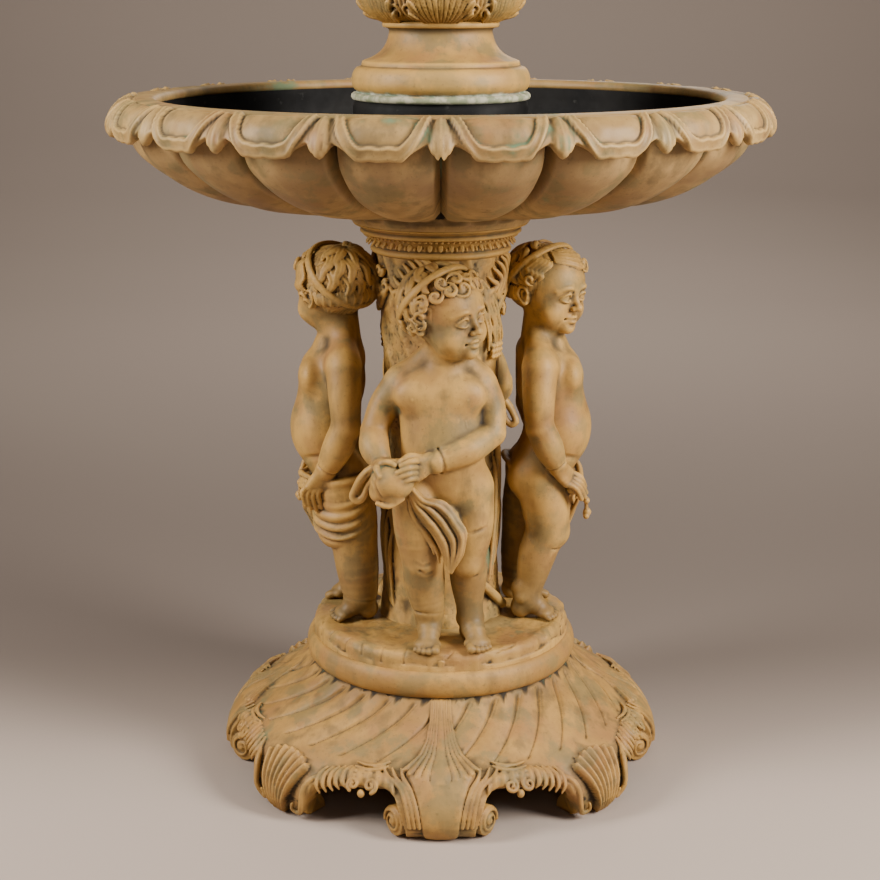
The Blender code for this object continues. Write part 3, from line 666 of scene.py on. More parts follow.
def frontPutto(step):
    clay = Clay((-175, -140, -6), (140, 90, 760), step)
    frontBody(clay)
    bundle(clay)
    frontCloth(clay)
    head = turnedPose((9, -10, 622), 47, -3, -5, 1.04)
    clay.place(head)
    clay.margin = 12
    headOf(clay)
    clay.margin = 5
    curlyHair(clay, 5)
    clay.place()
    return flatSoles(clay)


def headOf(clay):
    # the head is built apart, so that only its own parts flow together, then joined to the neck
    apart = Clay((-95, -95, -90), (95, 100, 105), clay.step[0] / 1.04)
    apart.margin = 14
    face(apart)
    for side in (-1, 1):
        ear(apart, side)

    def distance(x, y, z):
        spots = [(axis - apart.low[i]) / apart.step[i] for i, axis in enumerate((x, y, z))]
        spots = [np.clip(spot, 0, apart.count[i] - 1.001) for i, spot in enumerate(spots)]
        whole = [spot.astype(np.int32) for spot in spots]
        part = [spot - base for spot, base in zip(spots, whole)]
        total = 0.0
        for i in (0, 1):
            for j in (0, 1):
                for k in (0, 1):
                    weight = ((part[0] if i else 1 - part[0]) * (part[1] if j else 1 - part[1])
                              * (part[2] if k else 1 - part[2]))
                    total = total + weight * apart.field[whole[0] + i, whole[1] + j, whole[2] + k]
        return total
    clay.add((np.array((-70, -80, -78)), np.array((70, 80, 80)), distance), 9)


def flatSoles(clay):
    heights = clay.low[2] + clay.step[2] * np.arange(clay.count[2])
    clay.field = np.maximum(clay.field, (0.4 - heights)[None, None, :].astype(np.float32))
    return clay


def sideBody(clay):
    clay.margin = 30
    trunkOfBody(clay, ((0, -17, 460), (76, 64, 80)), ((0, -34, 370), (75, 65, 84)),
                ((0, -3, 296), (76, 58, 60)))
    clay.add(strand([(-66, 4, 504), (0, 2, 506), (66, 8, 506)], (32, 37, 32), 9), 18)
    clay.add(strand([(0, 2, 510), (0, -2, 545), (0, -6, 590)], (41, 40, 39), 7), 16)
    for x in (-1, 1):
        clay.add(strand([(x * 12, 4, 568), (x * 40, 8, 538), (x * 76, 9, 516)], (20, 22, 22), 9), 14)
    clay.add(strand([(-38, 0, 282), (-43, -12, 215), (-46, -17, 172)], (49, 46, 38), 13), 15)
    clay.add(strand([(-46, -14, 176), (-48, 5, 122), (-50, 18, 54)], (37, 36, 24), 13), 8)
    clay.add(strand([(42, 8, 282), (48, 16, 210), (50, 22, 160)], (50, 47, 41), 13), 15)
    clay.add(strand([(50, 22, 162), (52, 26, 110), (54, 32, 52)], (41, 39, 30), 13), 8)
    for x in (-30, 30):
        clay.add(ball((x, 25, 278), (42, 38, 44)), 12)
    clay.add(ball((-46, -38, 172), (22, 18, 22)), 14)
    clay.margin = 16
    clay.add(strand([(-82, 6, 498), (-98, 8, 450), (-102, 6, 394)], (34, 31, 26), 13), 9)
    clay.add(strand([(-102, 5, 392), (-98, -12, 352), (-86, -30, 312)], (27, 28, 18), 13), 5)
    clay.add(strand([(80, 10, 500), (97, 12, 450), (102, 14, 392)], (34, 31, 27), 13), 9)
    clay.add(strand([(102, 13, 392), (100, -4, 350), (90, -26, 306)], (28, 29, 20), 13), 5)
    clay.soften(6)
    foot(clay, (-50, 42), -8, 1)
    foot(clay, (56, 56), 8, -1)
    clay.margin = 6
    breast(clay, (-42, -73, 474), -1)
    breast(clay, (42, -73, 474), 1)
    clay.add(ball((0, -28, 528), (30, 20, 22)), 14)
    clay.cut(ball((0, -99, 362), (4, 5, 4)), 5)
    for x in (-1, 1):
        clay.cut(strand([(x * 30, -93, 412), (x * 60, -75, 424), (x * 78, -40, 432)], (0.6, 1.2, 0.6), 9), 9)
        clay.cut(strand([(x * 18, -84, 300), (x * 50, -66, 318), (x * 74, -30, 330)], (1, 2.4, 1), 9), 8)
    clay.cut(strand([(0, 68, 262), (0, 70, 284), (0, 58, 312)], (3, 4.5, 1.5), 9), 7)
    clay.cut(strand([(0, 50, 340), (0, 50, 420), (0, 54, 480)], (3, 4, 2), 9), 14)
    for x in (-1, 1):
        clay.cut(strand([(x * 40, 56, 440), (x * 52, 50, 470), (x * 50, 44, 500)], (2, 3, 2), 9), 14)
    ring(clay, (-89, -27, 318), (0.25, -0.5, -0.85), 19, 1.4)
    ring(clay, (92, -23, 312), (-0.25, -0.5, -0.85), 20.5, 1.6)
    clay.cut(strand([(-76, -22, 146), (-48, -54, 138), (-22, -34, 146)], (0.6, 1.6, 0.6), 9), 6)


def sideCloth(clay):
    clay.margin = 8
    # the left leg's wrap
    clay.add(strand([(46, 4, 262), (50, 18, 200), (51, 24, 150), (53, 30, 96), (55, 33, 48)],
                    (57, 50, 44, 40, 33), 13), 5)
    ring(clay, (55, 33, 44), (0, 0.1, 1), 35.5, 2.4, 2.0)
    drape(clay, [(4, -48, 244), (34, -50, 232), (72, -38, 222), (96, 2, 220), (84, 42, 232), (52, 52, 248)],
          [(14, -42, 176), (36, -42, 164), (66, -28, 152), (84, 4, 152), (78, 38, 162), (54, 50, 176)],
          (0.35, -0.4, 0.0), 8.0, 4, 3.6, 0.0, 21, 0.7)
    for height, thick in ((248, 4.6), (226, 5.8), (204, 5.4), (184, 3.8)):
        clay.add(strand([(30, -56, height + 6), (62, -46, height - 6), (92, -14, height - 12),
                         (100, 20, height - 6), (86, 46, height + 10), (58, 56, height + 20)],
                         (thick * 0.5, thick, thick * 1.1, thick, thick * 0.8, 1.5), 21), 6.0)
    # cloth over the groin and hips, gathered to both hands
    clay.add(strand([(70, -52, 262), (40, -66, 268), (0, -68, 262), (-36, -64, 254), (-66, -58, 262)],
                    (10, 14, 15, 12, 8), 13), 6)
    clay.add(strand([(20, -58, 262), (14, -56, 220), (4, -52, 180)], (16, 18, 8), 9), 6)
    for line, radii in (
            ([(78, -48, 282), (44, -74, 286), (0, -80, 278), (-40, -76, 268), (-72, -64, 276)],
             (5, 5.5, 5.5, 5, 4)),
            ([(74, -52, 258), (44, -76, 262), (8, -80, 250), (-16, -72, 230)], (5, 5, 5, 2.5)),
            ([(64, -52, 246), (36, -70, 232), (10, -72, 206), (0, -60, 176)], (4, 5, 5, 3)),
            ([(-30, -76, 256), (-10, -76, 226), (0, -66, 196), (2, -58, 170)], (3.5, 4, 4, 3)),
            ([(-72, -66, 264), (-58, -80, 252), (-34, -78, 246)], (4, 4, 2))):
        clay.add(strand(line, radii, 17), 3)
    clay.cut(strand([(70, -62, 270), (40, -82, 274), (0, -86, 265), (-30, -82, 258)], (1, 2.6, 2.6, 1), 13),
             2.5)
    clay.cut(strand([(50, -70, 250), (26, -80, 236), (8, -78, 206), (4, -66, 178)], (1, 2.6, 2.6, 1), 13),
             2.5)
    # cloth that runs back over the left hip
    clay.add(strand([(78, -44, 280), (98, -8, 282), (92, 34, 290), (62, 62, 300), (10, 66, 306),
                     (-40, 58, 300)],
                    (5, 6, 6, 6, 6, 2), 19), 9)
    # the ribbon end with its two knots, below the right hand
    clay.add(strand([(-66, -76, 262), (-62, -86, 244), (-58, -88, 228)], (4.5, 4, 3), 7), 2)
    for x, y, z, size in ((-61, -88, 238, 6.5), (-57, -90, 214, 8.0), (-62, -88, 207, 6.0),
                          (-52, -88, 209, 6.0)):
        clay.add(ball((x, y, z), size), 2)
    clay.add(strand([(-58, -88, 228), (-57, -89, 218)], (3.4, 4.2), 4), 2)
    hand(clay, (-85, -32, 308), (-76, -54, 284), (9, -5, 8), (-66, -86, 250), (-3, -6, 3),
         [(-78, -42, 300), (-66, -58, 292), (-58, -72, 284)])
    hand(clay, (90, -28, 302), (88, -46, 270), (2, -14, 1), (80, -52, 226), (6, -8, 4),
         [(84, -40, 288), (72, -60, 274), (70, -68, 256)])


def sidePutto(step):
    clay = Clay((-145, -115, -6), (145, 95, 770), step)
    sideBody(clay)
    sideCloth(clay)
    clay.place(turnedPose((2, -12, 632), -42, 2, 2, 1.04))
    clay.margin = 12
    headOf(clay)
    clay.margin = 5
    combedHair(clay, 9)
    clay.place()
    return flatSoles(clay)


def combedHair(clay, seed):
    chance = random.Random(seed)
    hairCap(clay, seed, 24, 1.8)
    for row, (start, end, count) in enumerate(((0.10, 0.85, 10), (0.55, 1.25, 14), (1.0, 1.62, 16))):
        for step in range(count):
            around = (step + 0.5 * (row % 2) + 0.3 * chance.random()) / count * math.tau
            facing = math.cos(around)
            if end > 1.0 and facing > 0.2 or facing > 0.75:
                continue
            waving(clay, around, start, end, 0.34, 0.10, 3.4, 3.2 + 0.8 * chance.random(), 4, 3.8)
    # the full roll at the nape, in upright locks
    for step in range(15):
        around = math.radians(100 + 160 * step / 14.0)
        line = [(Vector((math.sin(around + lean), -math.cos(around + lean), z)), lift)
                for z, lean, lift in ((-0.20, 0.0, 1.0), (-0.36, 0.03, 4.0), (-0.54, 0.0, 4.0),
                                      (-0.68, -0.05, 1.0))]
        lock(clay, line, 3.4 + 0.8 * chance.random(), 3, 5.0, 0.6)
    ribbon(clay, -48.0, 0.0, 5.0)
    # swept from a parting above one temple across the forehead
    for step in range(7):
        share = step / 6.0
        sway = 0.05 * (-1) ** step
        start = Vector((-0.42, -0.70 + 0.12 * share, 0.58 + 0.14 * share))
        end = Vector((0.66 - 0.12 * share, -1.0 + 0.32 * share, 0.32 + 0.30 * share))
        middle = Vector((0.10, -1.0 + 0.26 * share, 0.40 + 0.30 * share + sway))
        line = [(start, 1.0), ((start + middle) / 2, 4.0), (middle, 7.0 - 3 * share + 16 * sway),
                ((middle + end) / 2, 7.0 - 20 * sway), (end, 3.0)]
        lock(clay, line, 3.1, 3, 5.2, 0.5)
    curl(clay, (0.46, -0.94, 0.42), 12.0, 1.0, 1, 5.0, 1.2, 5.0)
    # waves from the parting down to the ear on one side, over the ear on the other
    for side, count, low in ((-1, 4, 0.06), (1, 5, -0.34)):
        for step in range(count):
            share = step / (count - 1.0)
            top = Vector((side * 0.62, -0.66 + 0.36 * share, 0.60 - 0.06 * share))
            foot = Vector((side * 1.0, -0.62 + 0.44 * share, low + 0.04 * step))
            middle = (top + foot) / 2 + Vector((side * 0.16, 0.0, 0.0))
            lock(clay, [(top, 1.0), ((top * 2 + middle) / 3 + Vector((0, -0.09, 0)), 6.0), (middle, 4.0),
                        ((foot + middle) / 2 + Vector((0, -0.09, 0)), 7.0), (foot, 3.0)], 3.3, 3, 5.0, 0.6)
    for x, y, z, size in ((-1.0, -0.36, 0.06, 8.5), (1.0, -0.40, -0.36, 10.0), (1.0, -0.30, -0.52, 8.5)):
        curl(clay, (x, y, z), size, 2.0, 1 if x > 0 else -1, 4.2, 1.1, 1.0)


baseLook = {
    "profile": [(250.7, 205), (275.5, 181), (300, 164), (328, 145), (356, 127), (375, 115), (390, 103),
                (405, 85), (416, 67), (421, 48), (420, 30), (410, 12), (390, 0)],
    "wall": 14.0,
    "grooves": 8,
    "groovePitch": 11.25,
    "grooveEnd": 135.0,
    "leanOfGrooves": 19.5,
}


def smooth(low, high, value):
    share = np.clip((value - low) / (high - low), 0.0, 1.0)
    return share * share * (3.0 - 2.0 * share)


class Skirt:
    # the skirt's profile: distance to it, and the length along it
    def __init__(self, profile):
        self.line = curve(profile, 60)
        steps = np.hypot(*np.diff(self.line, axis=0).T)
        self.length = np.concatenate([[0.0], np.cumsum(steps)])

    def measure(self, radius, height):
        best = np.full(np.broadcast(radius, height).shape, 1e9, dtype=np.float32)
        sign = np.ones_like(best)
        along = np.zeros_like(best)
        for a, b, start, end in zip(self.line, self.line[1:], self.length, self.length[1:]):
            way = b - a
            share = ((radius - a[0]) * way[0] + (height - a[1]) * way[1]) / (way @ way)
            inside = np.clip(share, 0.0, 1.0)
            dx = radius - a[0] - way[0] * inside
            dy = height - a[1] - way[1] * inside
            away = np.hypot(dx, dy)
            closer = away < best
            side = np.sign(dy * way[0] - dx * way[1])
            best = np.where(closer, away, best)
            sign = np.where(closer, side, sign)
            along = np.where(closer, start + (end - start) * inside, along)
        return best * sign, along

    def at(self, angle, along, lift=0.0):
        # a point on the skirt at an angle in degrees from the front, a length down it and a height above it
        r = np.interp(along, self.length, self.line[:, 0])
        z = np.interp(along, self.length, self.line[:, 1])
        r2 = np.interp(along + 4, self.length, self.line[:, 0])
        z2 = np.interp(along + 4, self.length, self.line[:, 1])
        r1 = np.interp(along - 4, self.length, self.line[:, 0])
        z1 = np.interp(along - 4, self.length, self.line[:, 1])
        flow = np.array([r2 - r1, z2 - z1])
        flow /= np.hypot(*flow)
        r, z = r - flow[1] * lift, z + flow[0] * lift
        turn = math.radians(angle)
        return r * math.sin(turn), -r * math.cos(turn), z


def baseClay(step):
    pitch = math.pi / 2.0
    clay = Clay((0.0, 222.0, -4.4), (pitch, 440.0, 266.0), (step / 420.0, step, step), pitch)
    skirt = Skirt(baseLook["profile"])
    angle = (clay.low[0] + clay.step[0] * np.arange(clay.count[0]))[:, None, None]
    radius = (clay.low[1] + clay.step[1] * np.arange(clay.count[1]))[None, :, None]
    height = (clay.low[2] + clay.step[2] * np.arange(clay.count[2]))[None, None, :]
    degrees = np.degrees(angle)
    outer, along = skirt.measure(radius[0].astype(np.float32), height[0].astype(np.float32))
    outer, along = outer[None].astype(np.float32), along[None].astype(np.float32)
    around = np.interp(along, skirt.length, skirt.line[:, 0]).astype(np.float32)

    # 0 on the scroll foot, which is at the front
    fromScroll = ((degrees + 45.0) % 90.0 - 45.0).astype(np.float32)
    fromShell = (degrees - 45.0).astype(np.float32)
    beside = np.abs(fromScroll)
    edge = np.interp(beside, [7.6, 8.4, 9.6, 11.6, 13.2, 15.0, 19.0, 24.5, 30.0, 33.0, 35.0, 36.6, 37.6],
                     [300, 275, 240, 203, 191, 186, 188, 193, 199, 212, 232, 262, 300]).astype(np.float32)

    # swirled grooves, each with a fine line beside it and a pit at its end
    part = np.clip(along / baseLook["grooveEnd"], 0.0, 1.2)
    lean = baseLook["leanOfGrooves"] * (1.0 - np.power(part, 1.1))
    pitch = baseLook["groovePitch"]
    off = (degrees - 4.25 - lean + pitch / 2.0) % pitch - pitch / 2.0
    across = (np.radians(off) * around).astype(np.float32)
    wide = 5.2 - 3.4 * part
    deep = (6.0 - 2.8 * part) * smooth(142, 132, along) * smooth(4, 20, along)
    relief = -deep * np.exp(-(across / wide) ** 2)
    crease = np.exp(-((across - 9.0 + 5 * part) / 1.4) ** 2)
    relief -= 1.9 * crease * smooth(105, 70, along) * smooth(4, 20, along)
    rounded = np.cos(np.radians(off) * math.tau / np.radians(pitch) + math.pi) * 0.5 + 0.5
    relief += 2.2 * rounded * smooth(150, 90, along)
    relief -= 4.0 * np.exp(-(across ** 2 + (along - 138.0) ** 2) / 16.0)

    # the palmette that spreads from the ring over each scroll foot, and the smooth tongue under it
    flat = np.abs(np.radians(fromScroll) * around)
    share = flat / np.interp(along, [0, 20, 40, 88, 118, 140, 155, 178], [18, 19, 20, 28, 41, 60, 75, 88])
    inside, ribs = 0.0, 0.0
    for middle, half, tip in ((0.0, 0.24, 180), (0.335, 0.095, 173), (0.525, 0.095, 170), (0.715, 0.095, 164),
                              (0.905, 0.095, 157)):
        off = (share - middle) / half
        here = (np.abs(off) < 1.0) * smooth(-1.0, 3.0, tip - 7.0 * off ** 2 - along)
        inside = np.maximum(inside, here * smooth(-2, 8, along))
        ribs = ribs + (np.abs(off) < 1.0) * np.cos(np.clip(off, -1, 1) * math.pi / 2)
    swell = 3.4 + 4.2 * smooth(60, 170, along)
    leaf = swell * (0.35 + 0.80 * np.sqrt(ribs + 1e-6))
    relief = relief * (1.0 - inside) + leaf * inside
    broad = np.interp(along, [150, 160, 185, 209, 240, 262, 278, 290], [64, 62, 51, 43, 37, 34, 31, 26])
    tongue = smooth(1.02, 0.88, flat / broad) * smooth(150, 168, along)
    relief += 7.5 * tongue * np.sqrt(np.clip(1.0 - 0.5 * (flat / broad) ** 2, 0, 1)) * (1 - inside)

    # ruffled edge of the arches
    top = edge - np.interp(beside, [12, 16, 24.5, 32, 36], [20, 30, 38, 30, 22])
    scallops = 4.5 * np.abs(np.sin(np.radians(beside) * 72.0))
    band = smooth(-2.5, 1.5, along - top - scallops) * smooth(11.5, 12.5, beside) * smooth(37, 36, beside)
    flutes = 0.5 + 0.5 * np.cos(np.radians(beside - 24.5) * 144.0 + 0.035 * (along - top))
    bulge = np.sin(np.clip((along - top) / (edge - top + 1e-3), 0, 1) * math.pi)
    relief += band * (2.0 + 4.5 * bulge + 2.6 * flutes * (0.4 + bulge))

    # scallop shell
    flat = np.radians(fromShell) * around
    reach = np.hypot(flat, 302.0 - along)
    spread = np.degrees(np.arctan2(flat, 302.0 - along))
    leaf = 7.2
    inLeaf = (spread + leaf / 2.0) % leaf - leaf / 2.0
    tip = 143.0 - 0.018 * spread ** 2 - 6.0 * (inLeaf / leaf * 2.0) ** 2
    inside = smooth(-1.0, 2.0, tip - reach) * smooth(25.4, 24.4, np.abs(spread))
    dome = 8.0 + 9.0 * np.sin(np.clip(reach / 150.0, 0, 1) * math.pi)
    ribs = dome + (1.2 + 2.8 * smooth(20, 120, reach)) * np.cos(inLeaf / leaf * math.tau)
    relief = relief * (1.0 - inside) + ribs * inside

    thicker = np.maximum(smooth(13, 9, beside), smooth(11, 8, np.abs(fromShell)))
    wall = baseLook["wall"] + 26.0 * thicker * smooth(190, 235, along)
    field = np.maximum(outer - relief, -(outer + wall))
    field = np.maximum(field, along - edge)
    # the smooth ring and the deck inside it
    sideways = np.maximum(radius - 247.0, 0.0)
    away = np.hypot(sideways / 16.5, (height - 231.0) / 26.0) + 1e-6
    ringAway = away * (away - 1.0) / (np.hypot(sideways / 16.5 ** 2, (height - 231.0) / 26.0 ** 2) + 1e-6)
    deck = np.maximum(np.abs(height - 221.0) - 14.0, radius - 251.0)
    field = np.minimum(field, ringAway)
    field = np.minimum(field, deck)
    neck = np.maximum(np.abs(height - 205.0) - 14.0, radius - 247.0)
    field = np.minimum(field, neck)
    clay.field = np.ascontiguousarray(np.broadcast_to(field, clay.count)).astype(np.float32)

    clay.margin = 7.0
    def spiral(angle, along, size, spin, way, lift, thick):
        # a small scroll on the skirt
        line = []
        for step in range(17):
            share = step / 16.0
            turn, reach = spin + way * share * 1.35 * math.tau, size * (1.0 - 0.78 * share)
            line.append(skirt.at(angle + math.degrees(math.cos(turn) * reach / 415.0),
                                 along + math.sin(turn) * reach, lift + 3.0 * share))
        clay.add(path(line, np.linspace(thick, thick * 0.7, 17)), 1.5)

    for side in (-1, 1):
        # mouldings that run down beside the tongue to the volute
        for inset, thick, top in ((5.0, 4.2, 50.0), (13.5, 4.0, 44.0), (22.0, 4.4, 41.0)):
            line = []
            for along, half in ((150, 62), (168, 59), (185, 51), (209, 42), (232, 36.5), (252, 33)):
                away = half + inset * (1.0 if along > 168 else 1.6 if along > 150 else 1.9)
                radius = np.interp(along, skirt.length, skirt.line[:, 0])
                line.append(skirt.at(side * math.degrees(away / radius), along, 4.0))
            clay.add(strand(line, (thick * 0.5, thick, thick, thick, thick * 0.9), 19), 1.5)
        # hanging scrolls and berries along the arch
        spiral(side * 18.2, 188, 13.0, -1.2 * side, side, 6.0, 4.2)
        spiral(side * 22.8, 190, 12.0, -2.0 * side, -side, 6.0, 4.0)
        clay.add(ball(skirt.at(side * 20.4, 203, 2.0), (7, 7, 8)), 3)
        for number in range(11):
            spot = skirt.at(side * (19.3 + 0.95 * (number % 5)),
                            166 + 6.5 * (number // 5) + 2.0 * (number % 2), 5.0)
            clay.add(ball(spot, 4.2), 1.5)
        # flame-like ribs beside the shell
        for number in range(5):
            start = 25.6 + 1.7 * number
            line = [skirt.at(side * (start - 0.5), 158 + 3 * number, 3.0),
                    skirt.at(side * (start + 0.5), 172 + 4 * number, 7.0),
                    skirt.at(side * (start + 0.2), 190 + 4 * number, 8.0),
                    skirt.at(side * (start - 0.9), 198 + 5 * number, 3.0)]
            clay.add(strand(line, (2.2, 4.4, 4.6, 2.2), 11), 1.5)
        line = [skirt.at(side * 33.4, 190, 6), skirt.at(side * 35.2, 206, 9), skirt.at(side * 36.2, 226, 8),
                skirt.at(side * 36.6, 250, 7), skirt.at(side * 38.0, 268, 6), skirt.at(side * 39.8, 262, 8),
                skirt.at(side * 39.2, 250, 9)]
        clay.add(strand(line, (3, 6, 5.5, 5, 5, 4, 3), 19), 2.0)
        # a double moulding over the corner of the foot
        for lift, off in ((5.0, 0.0), (4.0, 9.0)):
            line = [skirt.at(side * 14.6, 146 - off, 3), skirt.at(side * 17.0, 157 - off, lift + 1),
                    skirt.at(side * 20.5, 160 - off, lift), skirt.at(side * 24.0, 156 - off, 3)]
            clay.add(strand(line, (2, 4, 3.6, 2), 13), 2.0)

    # the roll under each scroll foot, and a volute turned outwards at each side of it
    def roll(x, y, z):
        return np.maximum(np.hypot(y + 388.0, z - 30.5) - 29.5, np.abs(x) - 62.0)
    clay.add((np.array((-66, -420, 0)), np.array((66, -358, 63)), roll), 5.0)

    def disc(x, y, z):
        away = np.hypot(x, y)
        return np.maximum(away - 28.0, np.abs(z) - 13.0 - 0.10 * (28.0 - away))
    for side in (-1, 1):
        turn = Matrix.Rotation(math.radians(90.0), 4, "X")
        spot = Matrix.Translation((side * 75.0, -383.0, 30.5))
        clay.place(spot @ Matrix.Rotation(math.radians(side * 56.0), 4, "Z") @ turn)
        clay.add((np.array((-28, -28, -15)), np.array((28, 28, 15)), disc), 4.0)
        line = []
        for step in range(27):
            share = step / 26.0
            angle = side * (math.radians(100) - share * 1.6 * math.tau)
            size = 24.0 * (1.0 - 0.76 * share)
            line.append((math.sin(angle) * size, math.cos(angle) * size, 13.5 + 2.5 * share))
        clay.add(path(line, np.linspace(4.4, 3.2, 27)), 1.0)
        inner = [(x * 0.80, y * 0.80, z + 1.0) for x, y, z in line[:20]]
        clay.cut(path(inner, 1.7), 1.2)
        clay.add(ball((0, 0, 15), (6.5, 6.5, 5)), 1.0)
        clay.place()
    floor = (0.6 - height).astype(np.float32)
    clay.field = np.maximum(clay.field, floor)
    return clay


def tiled(clay, times):
    # the whole round from one repeat
    whole = Clay.__new__(Clay)
    whole.__dict__.update(clay.__dict__)
    whole.turns = clay.turns * times
    whole.count = clay.count.copy()
    whole.count[0] *= times
    whole.field = np.tile(clay.field, (times, 1, 1))
    return whole


def patchNoise(u, v, cellsU, cellsV, seed):
    # smooth random heights, -1 to 1, that repeat round u; u and v run 0 to 1
    heights = np.random.default_rng(seed).uniform(-1, 1, (cellsU, cellsV + 2))
    x, y = u * cellsU, v * cellsV
    i, j = np.floor(x).astype(int), np.clip(np.floor(y).astype(int), 0, cellsV)
    x, y = x - i, y - j
    x, y = x * x * (3 - 2 * x), y * y * (3 - 2 * y)
    a, b = heights[i % cellsU, j], heights[(i + 1) % cellsU, j]
    c, d = heights[i % cellsU, j + 1], heights[(i + 1) % cellsU, j + 1]
    return (a * (1 - x) + b * x) * (1 - y) + (c * (1 - x) + d * x) * y


def rockClay(step):
    clay = Clay((0.0, 96.0, 240.0), (math.tau, 254.0, 316.0), (step / 240.0, step, step), math.tau)
    angle = (clay.low[0] + clay.step[0] * np.arange(clay.count[0]))[:, None]
    radius = (clay.low[1] + clay.step[1] * np.arange(clay.count[1]))[None, :]
    height = (clay.low[2] + clay.step[2] * np.arange(clay.count[2]))[None, None, :]
    u = angle / math.tau + 0.0 * radius
    v = (radius - 96) / 160 + 0.0 * angle
    swells, lumps = 2.6 * patchNoise(u, v, 14, 3, 3), 1.4 * patchNoise(u, v, 40, 8, 4)
    top = 289.5 + swells + lumps + 0.5 * patchNoise(u, v, 150, 30, 5)
    top += 3.0 * smooth(150, 118, radius)
    # flat under the feet
    for turn in (0, 90, 180, 270):
        away = np.hypot(radius * np.sin(angle) - 200 * math.sin(math.radians(turn)),
                        -radius * np.cos(angle) + 200 * math.cos(math.radians(turn)))
        top = top + (291.6 - top) * smooth(95, 60, away)
    rim = 247.0 + 2.2 * patchNoise(u, v * 0, 22, 2, 6) + 1.3 * patchNoise(u, v * 0, 90, 2, 7)
    ledge = 268 + 5 * patchNoise(u, v * 0, 30, 2, 8)
    side = radius - rim
    # stepped, broken edge
    rounded = np.hypot(np.maximum(side + 16, 0)[:, :, None],
                       np.maximum(height - top[:, :, None] + 16, 0)) - 16
    low = np.maximum((radius - 249.0)[:, :, None], height - ledge[:, :, None])
    grain = 1.2 * patchNoise(u, v, 120, 24, 9)[:, :, None] * smooth(-30, -6, side)[:, :, None]
    cracked = np.exp(-(patchNoise(u, v, 34, 6, 10) / 0.10) ** 2)[:, :, None]
    cracks = 2.6 * cracked * smooth(-26, -4, side)[:, :, None]
    clay.field = np.minimum(rounded + cracks - grain, low).astype(np.float32)
    return clay


def trunkRadius(height):
    share = (height - 292.0) / 710.0
    return np.interp(share, [0.0, 0.06, 0.20, 0.45, 0.72, 0.92, 1.0],
                     [122.0, 114.0, 108.5, 106.5, 110.0, 118.0, 123.5])


